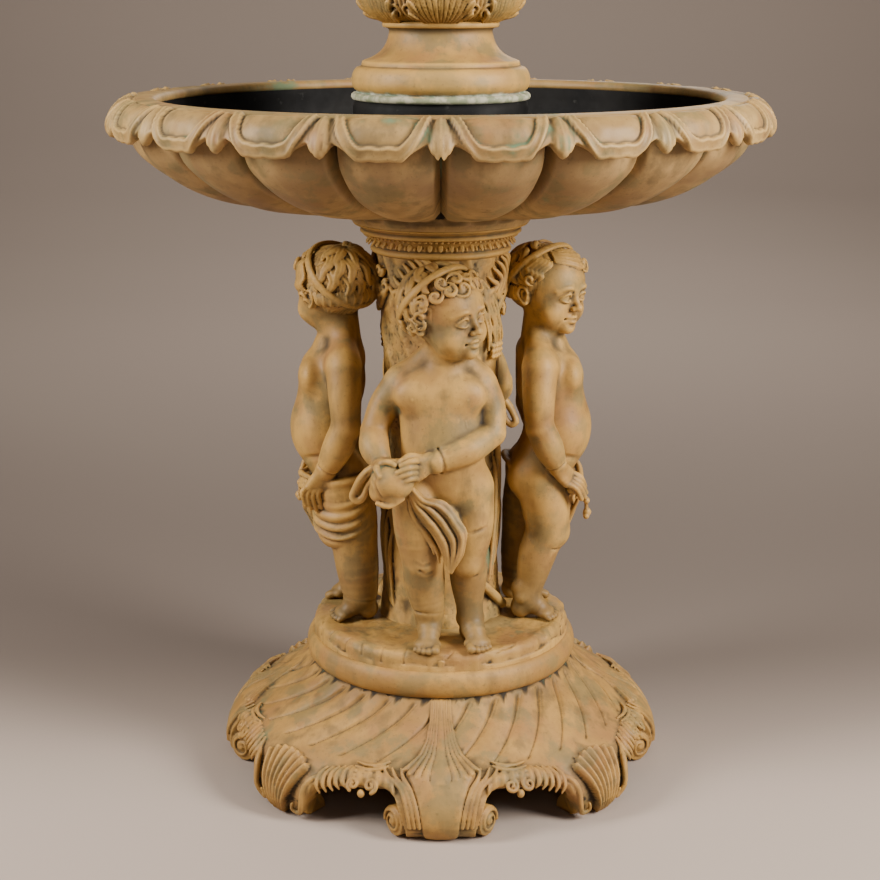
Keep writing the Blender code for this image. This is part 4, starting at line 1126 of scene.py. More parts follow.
def trunkClay(step):
    clay = Clay((0.0, 88.0, 284.0), (math.tau, 152.0, 1020.0), (step / 120.0, step, step), math.tau)
    angle = (clay.low[0] + clay.step[0] * np.arange(clay.count[0]))[:, None]
    radius = (clay.low[1] + clay.step[1] * np.arange(clay.count[1]))[None, :, None]
    height = (clay.low[2] + clay.step[2] * np.arange(clay.count[2]))[None, :]
    u = angle / math.tau + 0.0 * height
    v = (height - 284) / 722 + 0.0 * angle
    ridge = patchNoise(u + 0.02 * np.sin(v * 25), v, 26, 9, 11)
    bark = 2.4 * (1 - np.abs(ridge) * 2.2).clip(-1, 1) + 1.2 * patchNoise(u, v, 60, 40, 12)
    pitted = np.clip(patchNoise(u, v, 190, 180, 13) - 0.15, 0, 1)
    pits = 1.5 * pitted * smooth(-0.3, 0.3, patchNoise(u, v, 9, 8, 14))
    clay.field = (radius - (trunkRadius(height) - 1.5 + bark - pits)[:, None, :]).astype(np.float32)
    clay.margin = 6.0

    def at(turn, height, lift):
        size = trunkRadius(height) + lift
        return size * math.sin(math.radians(turn)), -size * math.cos(math.radians(turn)), height

    def wound(turn, height, size, spin, way, lift=3.0, thick=4.6):
        # a large loose curl with an open middle
        clay.add(ball(at(turn, height, -size * 0.3), size * 0.8), 3)
        line = []
        for step in range(15):
            share = step / 14.0
            angle, reach = spin + way * share * 1.2 * math.tau, size * (1.0 - 0.62 * share)
            line.append(at(turn + math.degrees(math.cos(angle) * reach / 118.0),
                           height + math.sin(angle) * reach, lift + 4.0 * share))
        clay.add(path(line, np.linspace(thick, thick * 0.7, 15)), 1.0)
        clay.cut(ball(at(turn, height, lift + 3.0), 3.4), 1.5)

    for side, full in ((0, True), (90, False), (180, True), (270, False)):
        # long leaves of hair that rise behind a head, parted by a ribbon
        for number in range(13):
            share = number / 12.0
            foot = side - 44.0 + 76.0 * share
            top = side - 46.0 + 66.0 * share ** 0.9
            rise = 1002.0 - 62.0 * (2.0 * share - 0.95) ** 2
            line = [at(foot * 0.5 + side * 0.5, 900, 0.0), at(foot, 930, 3.5),
                    at((foot + top) / 2 + 5, (rise + 930) / 2, 5.0), at(top, rise - 10, 5.0),
                    at(top - 6, rise, 1.5)]
            clay.add(strand(line, (4.0, 5.6, 5.4, 4.4, 2.4), 17), 1.0)
        for off in (-4.0, 4.0):
            line = [at(side + 6, 984 + off, 7.5), at(side - 10, 945 + off, 8.5),
                    at(side - 31, 901 + off, 7.5)]
            clay.add(strand(line, (3.6, 4.2, 3.6), 13), 1.0)
        for turn, height, size, spin, way in ((-22, 925, 13, 0.5, 1), (-12, 893, 12, 2.0, -1),
                                              (-30, 880, 12, 3.0, 1), (-37, 908, 11, 1.0, -1),
                                              (12, 970, 12, 2.5, 1), (26, 972, 11, 0.0, -1),
                                              (34, 944, 11, 1.4, 1)):
            wound(side + turn, height, size, spin, way)
        # a feathery bunch that hangs at one side
        if full:
            for number in range(8):
                off = (number - 3.5) * 2.5
                wave = 1.6 * math.sin(number * 2.3)
                line = [at(side + 34 + off * 0.4, 960, 3), at(side + 40 + off * 0.9 + wave, 936, 6),
                        at(side + 46 + off - wave, 908, 8), at(side + 52 + off * 1.1 + wave, 880, 9),
                        at(side + 57 + off * 1.2 - wave, 852, 9),
                        at(side + 60 + off * 1.3, 826 + 7 * (number % 3), 6)]
                clay.add(strand(line, (2.2, 3.4, 3.6, 3.6, 3.6, 3.0), 21), 0.6)
            for number in range(12):
                clay.add(ball(at(side + 54 + 4.6 * (number % 4), 812 + 10 * (number // 4), 8), 5.4), 1.2)
            # hanging cloth at both sides of the legs
            for turn, top, low, sway, thick in ((-80, 520, 330, 22, 6.5), (-70, 500, 325, 16, 5.5),
                                                (-60, 470, 322, 9, 4.5), (80, 655, 380, -20, 6.5),
                                                (70, 610, 372, -14, 5.0), (88, 560, 400, -20, 5.0)):
                line = [at(side + turn, top, 0), at(side + turn, top - 40, 4),
                        at(side + turn + sway * 0.3, (top + low) / 2, 5), at(side + turn + sway, low, 1)]
                clay.add(strand(line, (thick * 0.4, thick, thick, thick * 0.5), 17), 3.0)
            line = [at(side + 16, 428, 0), at(side + 32, 392, 4), at(side + 52, 352, 6),
                    at(side + 74, 312, 5)]
            clay.add(strand(line, (3, 7, 9, 10), 13), 4.0)
    return clay


class Flow:
    # a node's output that takes part in sums, in shader and geometry trees alike

    def __init__(self, tree, socket):
        self.tree = tree
        self.socket = socket

    def math(self, operation, *others):
        node = self.tree.nodes.new("ShaderNodeMath")
        node.operation = operation
        for place, value in enumerate((self, *others)):
            plug(self.tree, node.inputs[place], value)
        return Flow(self.tree, node.outputs[0])

    def __add__(self, other):
        return self.math("ADD", other)

    def __sub__(self, other):
        return self.math("SUBTRACT", other)

    def __mul__(self, other):
        return self.math("MULTIPLY", other)

    def __truediv__(self, other):
        return self.math("DIVIDE", other)

    def __pow__(self, other):
        return self.math("POWER", other)

    def __neg__(self):
        return self.math("MULTIPLY", -1.0)

    def __rsub__(self, other):
        return (-self).math("ADD", other)

    __radd__ = __add__
    __rmul__ = __mul__

    def sine(self):
        return self.math("SINE")

    def cosine(self):
        return self.math("COSINE")

    def size(self):
        return self.math("ABSOLUTE")

    def most(self, other):
        return self.math("MAXIMUM", other)

    def least(self, other):
        return self.math("MINIMUM", other)

    def ramp(self, low, high, start=0.0, end=1.0):
        # a smooth step from start to end as this goes from low to high
        settings = {"interpolation_type": "SMOOTHSTEP"}
        values = {"Value": self, "From Min": low, "From Max": high, "To Min": start, "To Max": end}
        return node(self.tree, "ShaderNodeMapRange", settings, values)["Result"]

    def bump(self, centre, width):
        # 1 at the centre, falling to 0 at a width's distance and beyond
        return (1.0 - ((self - centre) / width) ** 2).most(0.0)


def plug(tree, socket, value):
    if isinstance(value, Flow):
        tree.links.new(value.socket, socket)
    else:
        socket.default_value = value


def node(tree, kind, settings=None, values=None):
    # a new node with its settings, then its socket values or links; gives its outputs by name
    made = tree.nodes.new(kind)
    for name, value in (settings or {}).items():
        setattr(made, name, value)
    for name, value in (values or {}).items():
        plug(tree, made.inputs[name], value)
    return {output.name: Flow(tree, output) for output in made.outputs if output.enabled}


figureLook = {
    "pale": (0.470, 0.270, 0.066), "warm": (0.320, 0.172, 0.044), "rose": (0.285, 0.135, 0.046),
    "brown": (0.086, 0.054, 0.021), "dark": (0.016, 0.010, 0.004), "green": (0.130, 0.205, 0.110),
    "olive": (0.165, 0.130, 0.052),
    "mottle": 0.86, "greenAmount": 0.10, "roughness": 0.56, "grain": 0.22, "recess": 1.0, "depth": 1.0,
    "lowShade": 0.0,
}
# the putti get painted shade on their lower legs
puttoLook = dict(figureLook, lowShade=0.55)
baseLookColours = dict(figureLook, pale=(0.425, 0.235, 0.056), warm=(0.290, 0.152, 0.038), mottle=0.90,
                       greenAmount=0.10, roughness=0.60, grain=0.26, depth=0.55)
columnLook = dict(figureLook, mottle=0.60, greenAmount=0.26, roughness=0.62, grain=0.40, depth=0.8)
bowlLook = dict(figureLook, pale=(0.430, 0.268, 0.098), warm=(0.262, 0.156, 0.058),
                rose=(0.190, 0.104, 0.046), mottle=1.0, greenAmount=0.26, roughness=0.52, grain=0.20,
                depth=0.22)
rimLook = dict(figureLook, pale=(0.410, 0.260, 0.090), warm=(0.290, 0.170, 0.054), mottle=0.80,
               greenAmount=0.62, roughness=0.56, grain=0.22, depth=0.45)
stemColours = dict(figureLook, mottle=0.60, greenAmount=0.22, roughness=0.55, depth=0.6)


def noise(tree, coordinates, scale, detail=3.0, seed=0.0, roughness=0.55):
    offset = node(tree, "ShaderNodeVectorMath", {"operation": "ADD"},
                  {0: coordinates, 1: (seed, seed * 0.7, -seed)})
    values = {"Vector": offset["Vector"], "Scale": scale, "Detail": detail, "Roughness": roughness}
    outputs = node(tree, "ShaderNodeTexNoise", None, values)
    return outputs["Fac"] if "Fac" in outputs else outputs["Factor"]


def mixColour(tree, amount, one, two, blend="MIX"):
    made = tree.nodes.new("ShaderNodeMix")
    made.data_type = "RGBA"
    made.blend_type = blend
    for place, value in ((0, amount), (6, one), (7, two)):
        if isinstance(value, tuple) and len(value) == 3:
            value = (*value, 1.0)
        plug(tree, made.inputs[place], value)
    return Flow(tree, made.outputs[2])


def attribute(tree, name):
    return node(tree, "ShaderNodeAttribute", {"attribute_name": name})["Fac"]


def patina(name, look, seed=0.0, extra=None):
    # bronze with a painted tan patina: pale high places, brown glaze in the hollows that is partly patina and
    # partly painted shade, green bloom
    material = bpy.data.materials.new(name)
    material.use_nodes = True
    tree = material.node_tree
    shader = tree.nodes["Principled BSDF"]
    place = node(tree, "ShaderNodeTexCoord")["Object"]
    stretched = node(tree, "ShaderNodeVectorMath", {"operation": "MULTIPLY"},
                     {0: place, 1: (1.0, 1.0, 0.22)})["Vector"]
    cavity = attribute(tree, "cavity") * look["depth"]
    hollow = attribute(tree, "hollow") * look["depth"]

    cloudy = noise(tree, place, 6.0, 3.0, seed)
    mottled = noise(tree, place, 24.0, 5.0, seed + 3.0)
    fine = noise(tree, place, 170.0, 3.0, seed + 6.0)
    streaked = noise(tree, stretched, 30.0, 4.0, seed + 9.0, 0.6)
    blush = noise(tree, place, 11.0, 2.0, seed + 13.0)

    colour = mixColour(tree, (cloudy * 0.6 + mottled * 0.4).ramp(0.40, 0.60), look["warm"], look["pale"])
    colour = mixColour(tree, blush.ramp(0.50, 0.66) * 0.55, colour, look["rose"])
    stain = (mottled * 0.45 + streaked * 0.35 + cloudy * 0.20).ramp(0.47, 0.62) * look["mottle"]
    colour = mixColour(tree, stain * 0.70, colour, look["brown"])
    dull = noise(tree, place, 13.0, 6.0, seed + 17.0, 0.62).ramp(0.50, 0.60) * 0.62
    colour = mixColour(tree, dull, colour, look["olive"])
    # painted shade: the depth of the recesses darkens the colour, partly the patina's brown glaze and partly
    # shade laid into the colour
    recess = cavity * 2.7 + hollow * 0.60 + (mottled - 0.5) * 1.4
    glazeAndPaintedShade = recess.ramp(-0.2, 1.6) * look["recess"]
    colour = mixColour(tree, glazeAndPaintedShade * 0.78, colour, look["brown"])
    # painted shade: the deepest recesses go nearly black
    colour = mixColour(tree, recess.ramp(1.0, 3.0) * 0.92, colour, look["dark"])
    high = (cavity * -2.7 - hollow * 0.30 + (mottled - 0.5) * 0.8).ramp(0.25, 1.9)
    colour = mixColour(tree, high * 0.50, colour, tuple(min(1.0, c * 1.30) for c in look["pale"]))
    bloom = noise(tree, place, 5.5, 5.0, seed + 20.0) + recess * 0.035 + (mottled - 0.5) * 0.35
    green = bloom.ramp(0.70 - 0.16 * look["greenAmount"], 0.80 - 0.10 * look["greenAmount"])
    colour = mixColour(tree, green * min(0.8, 0.30 + look["greenAmount"]), colour, look["green"])
    colour = mixColour(tree, fine.ramp(0.60, 0.74) * 0.35, colour, look["brown"])

    if look["lowShade"]:
        # painted shade: the feet and shins are darker, standing in for the shadow the body casts on the lower
        # legs
        low = node(tree, "ShaderNodeSeparateXYZ", None, {0: place})["Z"] + (mottled - 0.5) * 0.16
        colour = mixColour(tree, (1.0 - low.ramp(0.30, 0.52)) * look["lowShade"], colour, look["brown"])

    rough = look["roughness"] + (mottled - 0.5) * 0.25 + glazeAndPaintedShade * 0.18 + green * 0.2
    height = fine * 0.35 + noise(tree, place, 60.0, 4.0, seed + 30.0) * 0.65
    bumped = node(tree, "ShaderNodeBump", None,
                  {"Strength": look["grain"], "Distance": 0.004, "Height": height})
    if extra:
        colour, rough = extra(tree, place, colour, rough)
    plug(tree, shader.inputs["Base Color"], colour)
    plug(tree, shader.inputs["Roughness"], rough)
    plug(tree, shader.inputs["Normal"], bumped["Normal"])
    shader.inputs["Specular IOR Level"].default_value = 0.38
    return material


def charcoal(name, seed=0.0):
    # the basin's painted inside
    material = bpy.data.materials.new(name)
    material.use_nodes = True
    tree = material.node_tree
    shader = tree.nodes["Principled BSDF"]
    place = node(tree, "ShaderNodeTexCoord")["Object"]
    cloudy = noise(tree, place, 9.0, 5.0, seed)
    scuff = noise(tree, place, 55.0, 5.0, seed + 4.0)
    colour = mixColour(tree, cloudy.ramp(0.35, 0.7), (0.0045, 0.0042, 0.0040), (0.012, 0.011, 0.010))
    colour = mixColour(tree, scuff.ramp(0.64, 0.76) * 0.12, colour, (0.20, 0.20, 0.18))
    plug(tree, shader.inputs["Base Color"], colour)
    plug(tree, shader.inputs["Roughness"], 0.50 + scuff * 0.3)
    shader.inputs["Specular IOR Level"].default_value = 0.12
    return material


class Growth:
    # a Geometry Nodes tree whose named inputs are set before it is turned into a plain mesh

    def __init__(self, name, inputs):
        self.tree = bpy.data.node_groups.new(name, "GeometryNodeTree")
        self.values = dict(inputs)
        kinds = {int: "NodeSocketInt", float: "NodeSocketFloat"}
        self.sockets = {}
        for label, value in inputs.items():
            kind = kinds.get(type(value), "NodeSocketObject")
            self.sockets[label] = self.tree.interface.new_socket(label, in_out="INPUT", socket_type=kind)
        self.tree.interface.new_socket("Geometry", in_out="OUTPUT", socket_type="NodeSocketGeometry")
        self.given = node(self.tree, "NodeGroupInput")
        self.output = self.tree.nodes.new("NodeGroupOutput")

    def node(self, kind, settings=None, values=None):
        return node(self.tree, kind, settings, values)

    def grid(self, columns, rows):
        # a flat grid and its two coordinates, 0 to 1
        made = self.node("GeometryNodeMeshGrid", None, {"Vertices X": columns, "Vertices Y": rows})
        split = self.node("ShaderNodeSeparateXYZ", None, {"Vector": made["UV Map"]})
        return made["Mesh"], split["X"], split["Y"]

    def profile(self, share, points, scale):
        # reads a smooth profile at a share of the way along it; points are (share, size)
        made = self.tree.nodes.new("ShaderNodeFloatCurve")
        line = made.mapping.curves[0]
        while len(line.points) < len(points):
            line.points.new(0.5, 0.5)
        for point, (x, y) in zip(line.points, points):
            point.location = (x, y / scale)
        made.mapping.update()
        plug(self.tree, made.inputs["Value"], share)
        return Flow(self.tree, made.outputs[0]) * scale

    def turned(self, geometry, turn, radius, height):
        # places by the angle from the front, the radius and the height, in millimetres
        x, y = radius * turn.sine() * millimetre, radius * turn.cosine() * -millimetre
        spot = self.node("ShaderNodeCombineXYZ", None, {"X": x, "Y": y, "Z": height * millimetre})["Vector"]
        return self.node("GeometryNodeSetPosition", None,
                         {"Geometry": geometry, "Position": spot})["Geometry"]

    def raised(self, geometry, height):
        # moves the surface along its normal
        normal = self.node("GeometryNodeInputNormal")["Normal"]
        offset = self.node("ShaderNodeVectorMath", {"operation": "SCALE"},
                           {0: normal, "Scale": height})["Vector"]
        return self.node("GeometryNodeSetPosition", None,
                         {"Geometry": geometry, "Offset": offset})["Geometry"]

    def mesh(self, geometry, material, weld=0.0004):
        joined = self.node("GeometryNodeRealizeInstances", None, {"Geometry": geometry})["Geometry"]
        merged = self.node("GeometryNodeMergeByDistance", None,
                           {"Geometry": joined, "Distance": weld})["Geometry"]
        finished = self.node("GeometryNodeSetMaterial", None,
                             {"Geometry": merged, "Material": material})["Geometry"]
        plug(self.tree, self.output.inputs["Geometry"], finished)
        holder = bpy.data.objects.new(self.tree.name, bpy.data.meshes.new(self.tree.name))
        bpy.context.scene.collection.objects.link(holder)
        modifier = holder.modifiers.new("growth", "NODES")
        modifier.node_group = self.tree
        for label, value in self.values.items():
            modifier[self.sockets[label].identifier] = value
        graph = bpy.context.evaluated_depsgraph_get()
        result = bpy.data.meshes.new_from_object(holder.evaluated_get(graph))
        bpy.data.objects.remove(holder)
        return result


def byArc(points):
    # profile points with the share of the way along the line at each
    points = np.array(points, dtype=float)
    length = np.concatenate([[0.0], np.cumsum(np.hypot(*np.diff(points, axis=0).T))])
    return list(zip(length / length[-1], points[:, 0])), list(zip(length / length[-1], points[:, 1]))


basinLook = {
    "lobes": 20, "columns": 32, "rimColumns": 54, "grooveDepth": 30.0, "slitDepth": 15.0, "slitWidth": 6.5,
    "outside": [(120, 1055.4), (163, 1055.6), (167, 1060), (170, 1068), (172, 1073), (180, 1075.5),
                (192, 1078.5), (215, 1082), (250, 1087), (300, 1092.5), (357, 1100.5), (400, 1108),
                (433, 1117), (470, 1131.5), (500, 1148), (525, 1166), (546, 1185), (557, 1202), (563, 1219),
                (566, 1246)],
    "inside": [(550, 1283.9), (540, 1285.2), (526, 1285.6), (517.5, 1284.4), (515.5, 1277), (515, 1260),
               (514, 1228), (500, 1196), (455, 1160), (400, 1136), (320, 1104), (240, 1088), (168, 1082),
               (161, 1084), (160, 1110), (160, 1180), (160, 1240), (160, 1270), (158.5, 1277), (120, 1277.2)],
    "rim": [(547, 1284.2), (560, 1282.8), (573, 1277.5), (585, 1268.5), (593.0, 1258.5), (597.0, 1249),
            (598, 1241), (596.5, 1233), (593, 1226)],
    "rimLength": 76.0, "leafTip": 71.0, "notch": 56.0,
    "lip": [(551, 1284.0), (545, 1285.6), (532, 1286.6), (521, 1286.0), (515, 1283.0), (512.8, 1278),
            (512.8, 1272), (515.4, 1270)],
}


def bowlInputs(look, columns, rows):
    return {"Lobes": look["lobes"], "Columns": look["lobes"] * columns + 1, "Rows": rows,
            "Groove depth": look["grooveDepth"], "Slit depth": look["slitDepth"],
            "Slit width": look["slitWidth"]}


def lobedTurn(growth, around, look):
    # the angle, with closer columns by the grooves
    turn = around * math.tau
    return turn - (turn * growth.given["Lobes"]).sine() * (0.62 / look["lobes"])


def groovesBetween(growth, turn, radius, look):
    # how deep the grooves between the lobes are
    across = (turn * growth.given["Lobes"] * 0.5).sine().size()
    rounded = 1.0 - across ** 0.55
    start = radius.ramp(172.0, 190.0)
    end = radius.ramp(200.0, 440.0) * 0.60 + 0.40
    gap = across * radius * 2.0 / look["lobes"]
    slit = gap.bump(0.0, growth.given["Slit width"] * 1.6) * growth.given["Slit depth"]
    return (rounded * growth.given["Groove depth"] + slit) * start * end


def fluted(look):
    # the bowl's lobed outside
    growth = Growth("fluted bowl", bowlInputs(look, look["columns"], 46))
    flat, around, along = growth.grid(growth.given["Columns"], growth.given["Rows"])
    radii, heights = byArc(look["outside"])
    turn = lobedTurn(growth, around, look)
    radius = growth.profile(along, radii, 600.0)
    height = growth.profile(along, heights, 1300.0)
    bowl = growth.turned(flat, turn, radius, height)
    return growth, growth.raised(bowl, groovesBetween(growth, turn, radius, look) * -millimetre)


def plainInside(look):
    # the painted inside, with a low ridge above each groove where the wall follows it
    growth = Growth("basin inside", bowlInputs(look, 20, 44))
    flat, around, along = growth.grid(growth.given["Columns"], growth.given["Rows"])
    radii, heights = byArc(look["inside"])
    turn = lobedTurn(growth, around, look)
    radius = growth.profile(along, radii, 600.0)
    height = growth.profile(along, heights, 1300.0)
    outer, under = np.array(look["outside"]).T
    walls = [(share, max(2.0, tall - np.interp(size, outer, under)))
             for (share, size), (_, tall) in zip(radii, heights)]
    wall = growth.profile(along, walls, 300.0)
    cover = radius.ramp(420.0, 500.0) * 5.0 + 7.0
    ridge = (groovesBetween(growth, turn, radius, look) - wall + cover).most(0.0)
    height = height + ridge
    return growth, growth.turned(flat, turn, radius, height)


def panelledRim(look):
    # the rim: a cushion in a fold over each lobe and a ribbed leaf over each groove, with a scalloped edge
    inputs = {"Lobes": look["lobes"], "Columns": look["lobes"] * look["rimColumns"] + 1, "Rows": 42,
              "Fold height": 5.0, "Cushion height": 5.0, "Leaf height": 5.5, "Rib height": 1.8}
    growth = Growth("panelled rim", inputs)
    flat, around, along = growth.grid(growth.given["Columns"], growth.given["Rows"])
    radii, heights = byArc(look["rim"])
    turn = around * -math.tau
    pitch = 600.0 * math.tau / look["lobes"]
    fromLeaf = ((turn * look["lobes"] * 0.5).sine().math("ARCSINE").size()) * (pitch / math.pi)
    fromPanel = pitch / 2.0 - fromLeaf

    length, notch, tip = look["rimLength"], look["notch"], look["leafTip"]
    scallop = notch + fromLeaf.ramp(18.0, 64.0) * (length - notch)
    bottom = scallop.most(tip - fromLeaf * ((tip - notch) / 21.0))
    under = ((along - 0.84) / 0.16).most(0.0)
    down = bottom * (along / 0.84).least(1.0)
    radius = growth.profile(down / length, radii, 600.0)
    height = growth.profile(down / length, heights, 1300.0)
    radius = radius * (1.0 - under) + under * 567.0
    height = height * (1.0 - under) + under * 1246.0 + under.bump(0.4, 0.4) * -3.0
    rim = growth.turned(flat, turn, radius, height)

    uneven = (turn * 173.0).sine() * 0.7 + (turn * 71.0 + down * 0.12).sine() * 0.8
    side = fromPanel - (80.0 - (down - 10.0) * 0.36) + uneven
    edge = side.math("SMOOTH_MAX", down - bottom + (turn * 131.0).sine() * 0.8, 34.0)
    fold = edge.ramp(-18.0, -14.5) * edge.ramp(2.5, -1.0) * growth.given["Fold height"]
    fold = fold + edge.bump(-14.0, 2.6) * 1.4
    fold = fold + edge.bump(-2.2, 3.4) * 2.2 - edge.bump(-18.5, 3.0) * 0.7
    cushion = edge.ramp(-19.0, -40.0) * growth.given["Cushion height"] * down.ramp(8.0, 20.0)
    wide = (down - 12.0).most(0.0) * 0.20 + 10.0
    leaf = (wide - fromLeaf).ramp(0.0, 2.5)
    share = fromLeaf / wide
    facets = (1.0 - share.ramp(0.30, 1.05)) * growth.given["Leaf height"]
    facets = facets - share.bump(0.36, 0.07) * growth.given["Rib height"]
    facets = facets + share.bump(0.0, 0.20) * 1.2 + down.ramp(30.0, 66.0) * 2.0
    relief = fold + cushion + leaf * facets * down.ramp(6.0, 18.0)
    relief = relief * down.ramp(5.0, 14.0) - down.bump(8.0, 3.0) * 1.4 + down.bump(3.0, 3.5)
    relief = relief * (1.0 - under.ramp(0.0, 0.6))
    return growth, growth.raised(rim, relief * millimetre)


stemLook = {
    "foot": [(120, 1277.9), (160, 1277.9), (163, 1280), (163, 1287), (160.5, 1289.5), (152.5, 1291),
             (152.5, 1293.2), (156, 1295), (161.5, 1304), (162, 1316), (158.5, 1328), (153, 1334.5),
             (144, 1338), (143.5, 1344.5), (141, 1346.5), (129, 1351), (112, 1361), (101, 1374), (95, 1390),
             (93.8, 1400), (97, 1404), (104.5, 1405.5), (106, 1410.5), (104.5, 1415.5), (98, 1416.2),
             (90, 1420)],
    "neck": [(60, 1574), (70, 1577), (70, 1580.5), (62, 1582), (60.5, 1590), (61.5, 1598), (55, 1603),
             (45, 1609)],
    "bud": [(40, 1608), (52, 1616), (68, 1630), (79, 1648), (81, 1664), (74, 1682), (58, 1698), (40, 1711),
            (24, 1720), (14, 1724), (11, 1727), (11, 1730.6), (6, 1730.8), (5.5, 1726)],
    "leaves": 6,
}


def bulbClay(step):
    # the leafy bulb: a sixth of it, which is one leaf and half a scroll on each side
    pitch = math.tau / stemLook["leaves"]
    clay = Clay((0.0, 52.0, 1408.0), (pitch, 166.0, 1592.0), (step / 130.0, step, step), pitch)
    angle = (clay.low[0] + clay.step[0] * np.arange(clay.count[0]))[:, None, None]
    radius = (clay.low[1] + clay.step[1] * np.arange(clay.count[1]))[None, :, None]
    height = (clay.low[2] + clay.step[2] * np.arange(clay.count[2]))[None, None, :]
    line = curve([(94, 1412), (104, 1418), (122, 1427), (138, 1442), (147, 1466), (149, 1490), (142, 1518),
                  (124, 1544), (98, 1564), (76, 1574), (60, 1580)], 60)
    bulb = Skirt([(r, z) for r, z in line[::6]])
    outer, along = bulb.measure(radius[0].astype(np.float32), height[0].astype(np.float32))
    outer = -outer[None]
    along = along[None]
    around = np.interp(along, bulb.length, bulb.line[:, 0])
    half = pitch / 2.0
    off = (angle + half) % pitch - half
    across = off * around
    # a leaf rises over the front of each sixth; its ribs fan out from the foot
    reach = np.hypot(across, along + 26.0)
    spread = np.degrees(np.arctan2(across, along + 26.0))
    rib = 6.2
    inRib = (spread + rib / 2.0) % rib - rib / 2.0
    number = np.abs(np.round(spread / rib))
    tip = 178.0 - 7.5 * number ** 1.35 - 9.0 * (inRib / rib * 2.0) ** 2
    leaf = smooth(-1.5, 2.5, tip - reach) * smooth(41.0, 39.5, np.abs(spread))
    curl = 5.0 * smooth(-34, -6, reach - tip)
    relief = leaf * (3.2 + 3.0 * np.cos(inRib / rib * math.pi) - 1.8 * np.exp(-(inRib / 0.5) ** 2) + curl)
    # the smaller leaf behind, between two leaves
    other = (angle + 2 * half) % pitch - half
    across2 = other * around
    spread2 = np.degrees(np.arctan2(across2, along + 60.0))
    inRib2 = (spread2 + 2.0) % 4.0 - 2.0
    back = (1 - leaf) * smooth(215.0, 212.0, np.hypot(across2, along) + 0.08 * across2 ** 2)
    relief = relief + back * (1.6 * np.cos(inRib2 / 4.0 * math.tau) + 0.6)
    clay.field = np.maximum(outer - relief, 60 - radius + 0 * height).astype(np.float32)
    clay.margin = 5.0
    for side in (-1, 1):
        spiral = []
        for step12 in range(21):
            share = step12 / 20.0
            turn = math.radians(200) - side * 0.0 + share * 1.45 * math.tau
            size = 13.5 * (1.0 - 0.80 * share)
            x, z = math.cos(turn) * size * side, math.sin(turn) * size
            middle = half + side * -0.105
            r = np.interp(1436 + z, [1412, 1427, 1442, 1466], [104, 122, 138, 147]) + 4.5
            spot = middle + x / r
            spiral.append((r * math.sin(spot), -r * math.cos(spot), 1437 + z))
        clay.add(path(spiral, np.linspace(3.0, 2.2, 21)), 1.2)
    return clay


stageLook = {
    # behind is the floor's painted shade behind the fountain
    "floor": (0.400, 0.325, 0.275), "behind": (0.190, 0.152, 0.128), "wall": (0.318, 0.257, 0.217),
    "air": (0.30, 0.27, 0.25), "airStrength": 0.05, "leftPower": 165.0, "rightPower": 235.0,
    "frontPower": 11.0, "topPower": 30.0, "wallPower": 50.0, "backPower": 42.0,
    "camera": (-0.0015, -3.1366, 1.4777), "tilt": 15.08, "lens": 69.04,
    # the sweep: distance behind the fountain and height, with room for a camera behind the fountain too
    "sweep": [(-9.0, 0.0), (0.9, 0.0), (2.0, 0.01), (3.0, 0.06), (4.0, 0.18), (4.6, 0.32), (5.1, 0.50),
              (5.5, 0.74), (5.8, 1.05), (5.95, 1.45), (6.0, 2.0), (6.0, 8.0)],
}


def softLight(name, place, aim, size, power, colour=(1.0, 0.96, 0.91)):
    lamp = bpy.data.lights.new(name, "AREA")
    lamp.shape = "RECTANGLE"
    lamp.size, lamp.size_y = size
    lamp.energy = power
    lamp.color = colour
    made = bpy.data.objects.new(name, lamp)
    bpy.context.scene.collection.objects.link(made)
    made.location = place
    made.rotation_euler = (Vector(place) - Vector(aim)).to_track_quat("Z", "Y").to_euler()


def plainMaterial(name, look, roughness=0.9):
    # painted light and shade: a paler, lit-looking floor in front and a darker, shaded band behind the
    # fountain; paler again up the wall
    made = bpy.data.materials.new(name)
    made.use_nodes = True
    shader = made.node_tree.nodes["Principled BSDF"]
    place = node(made.node_tree, "ShaderNodeTexCoord")["Object"]
    split = node(made.node_tree, "ShaderNodeSeparateXYZ", None, {"Vector": place})
    # painted shade: the floor's colour darkens from the front to behind the fountain
    colour = mixColour(made.node_tree, split["Y"].ramp(-0.35, 0.55), look["floor"], look["behind"])
    colour = mixColour(made.node_tree, split["Y"].ramp(0.8, 3.6), colour, look["wall"])
    plug(made.node_tree, shader.inputs["Base Color"], colour)
    shader.inputs["Roughness"].default_value = roughness
    shader.inputs["Specular IOR Level"].default_value = 0.1
    return made


def backdrop(name, outline, look):
    # a wide sheet that follows an outline of (distance behind the fountain, height)
    rows = [[(-9.0, y, z), (9.0, y, z)] for y, z in outline]
    points = [point for row in rows for point in row]
    faces = [(2 * i, 2 * i + 1, 2 * i + 3, 2 * i + 2) for i in range(len(rows) - 1)]
    mesh = bpy.data.meshes.new(name)
    mesh.from_pydata(points, [], faces)
    mesh.materials.append(plainMaterial(name, look))
    for polygon in mesh.polygons:
        polygon.use_smooth = True
    made = bpy.data.objects.new(name, mesh)
    bpy.context.scene.collection.objects.link(made)


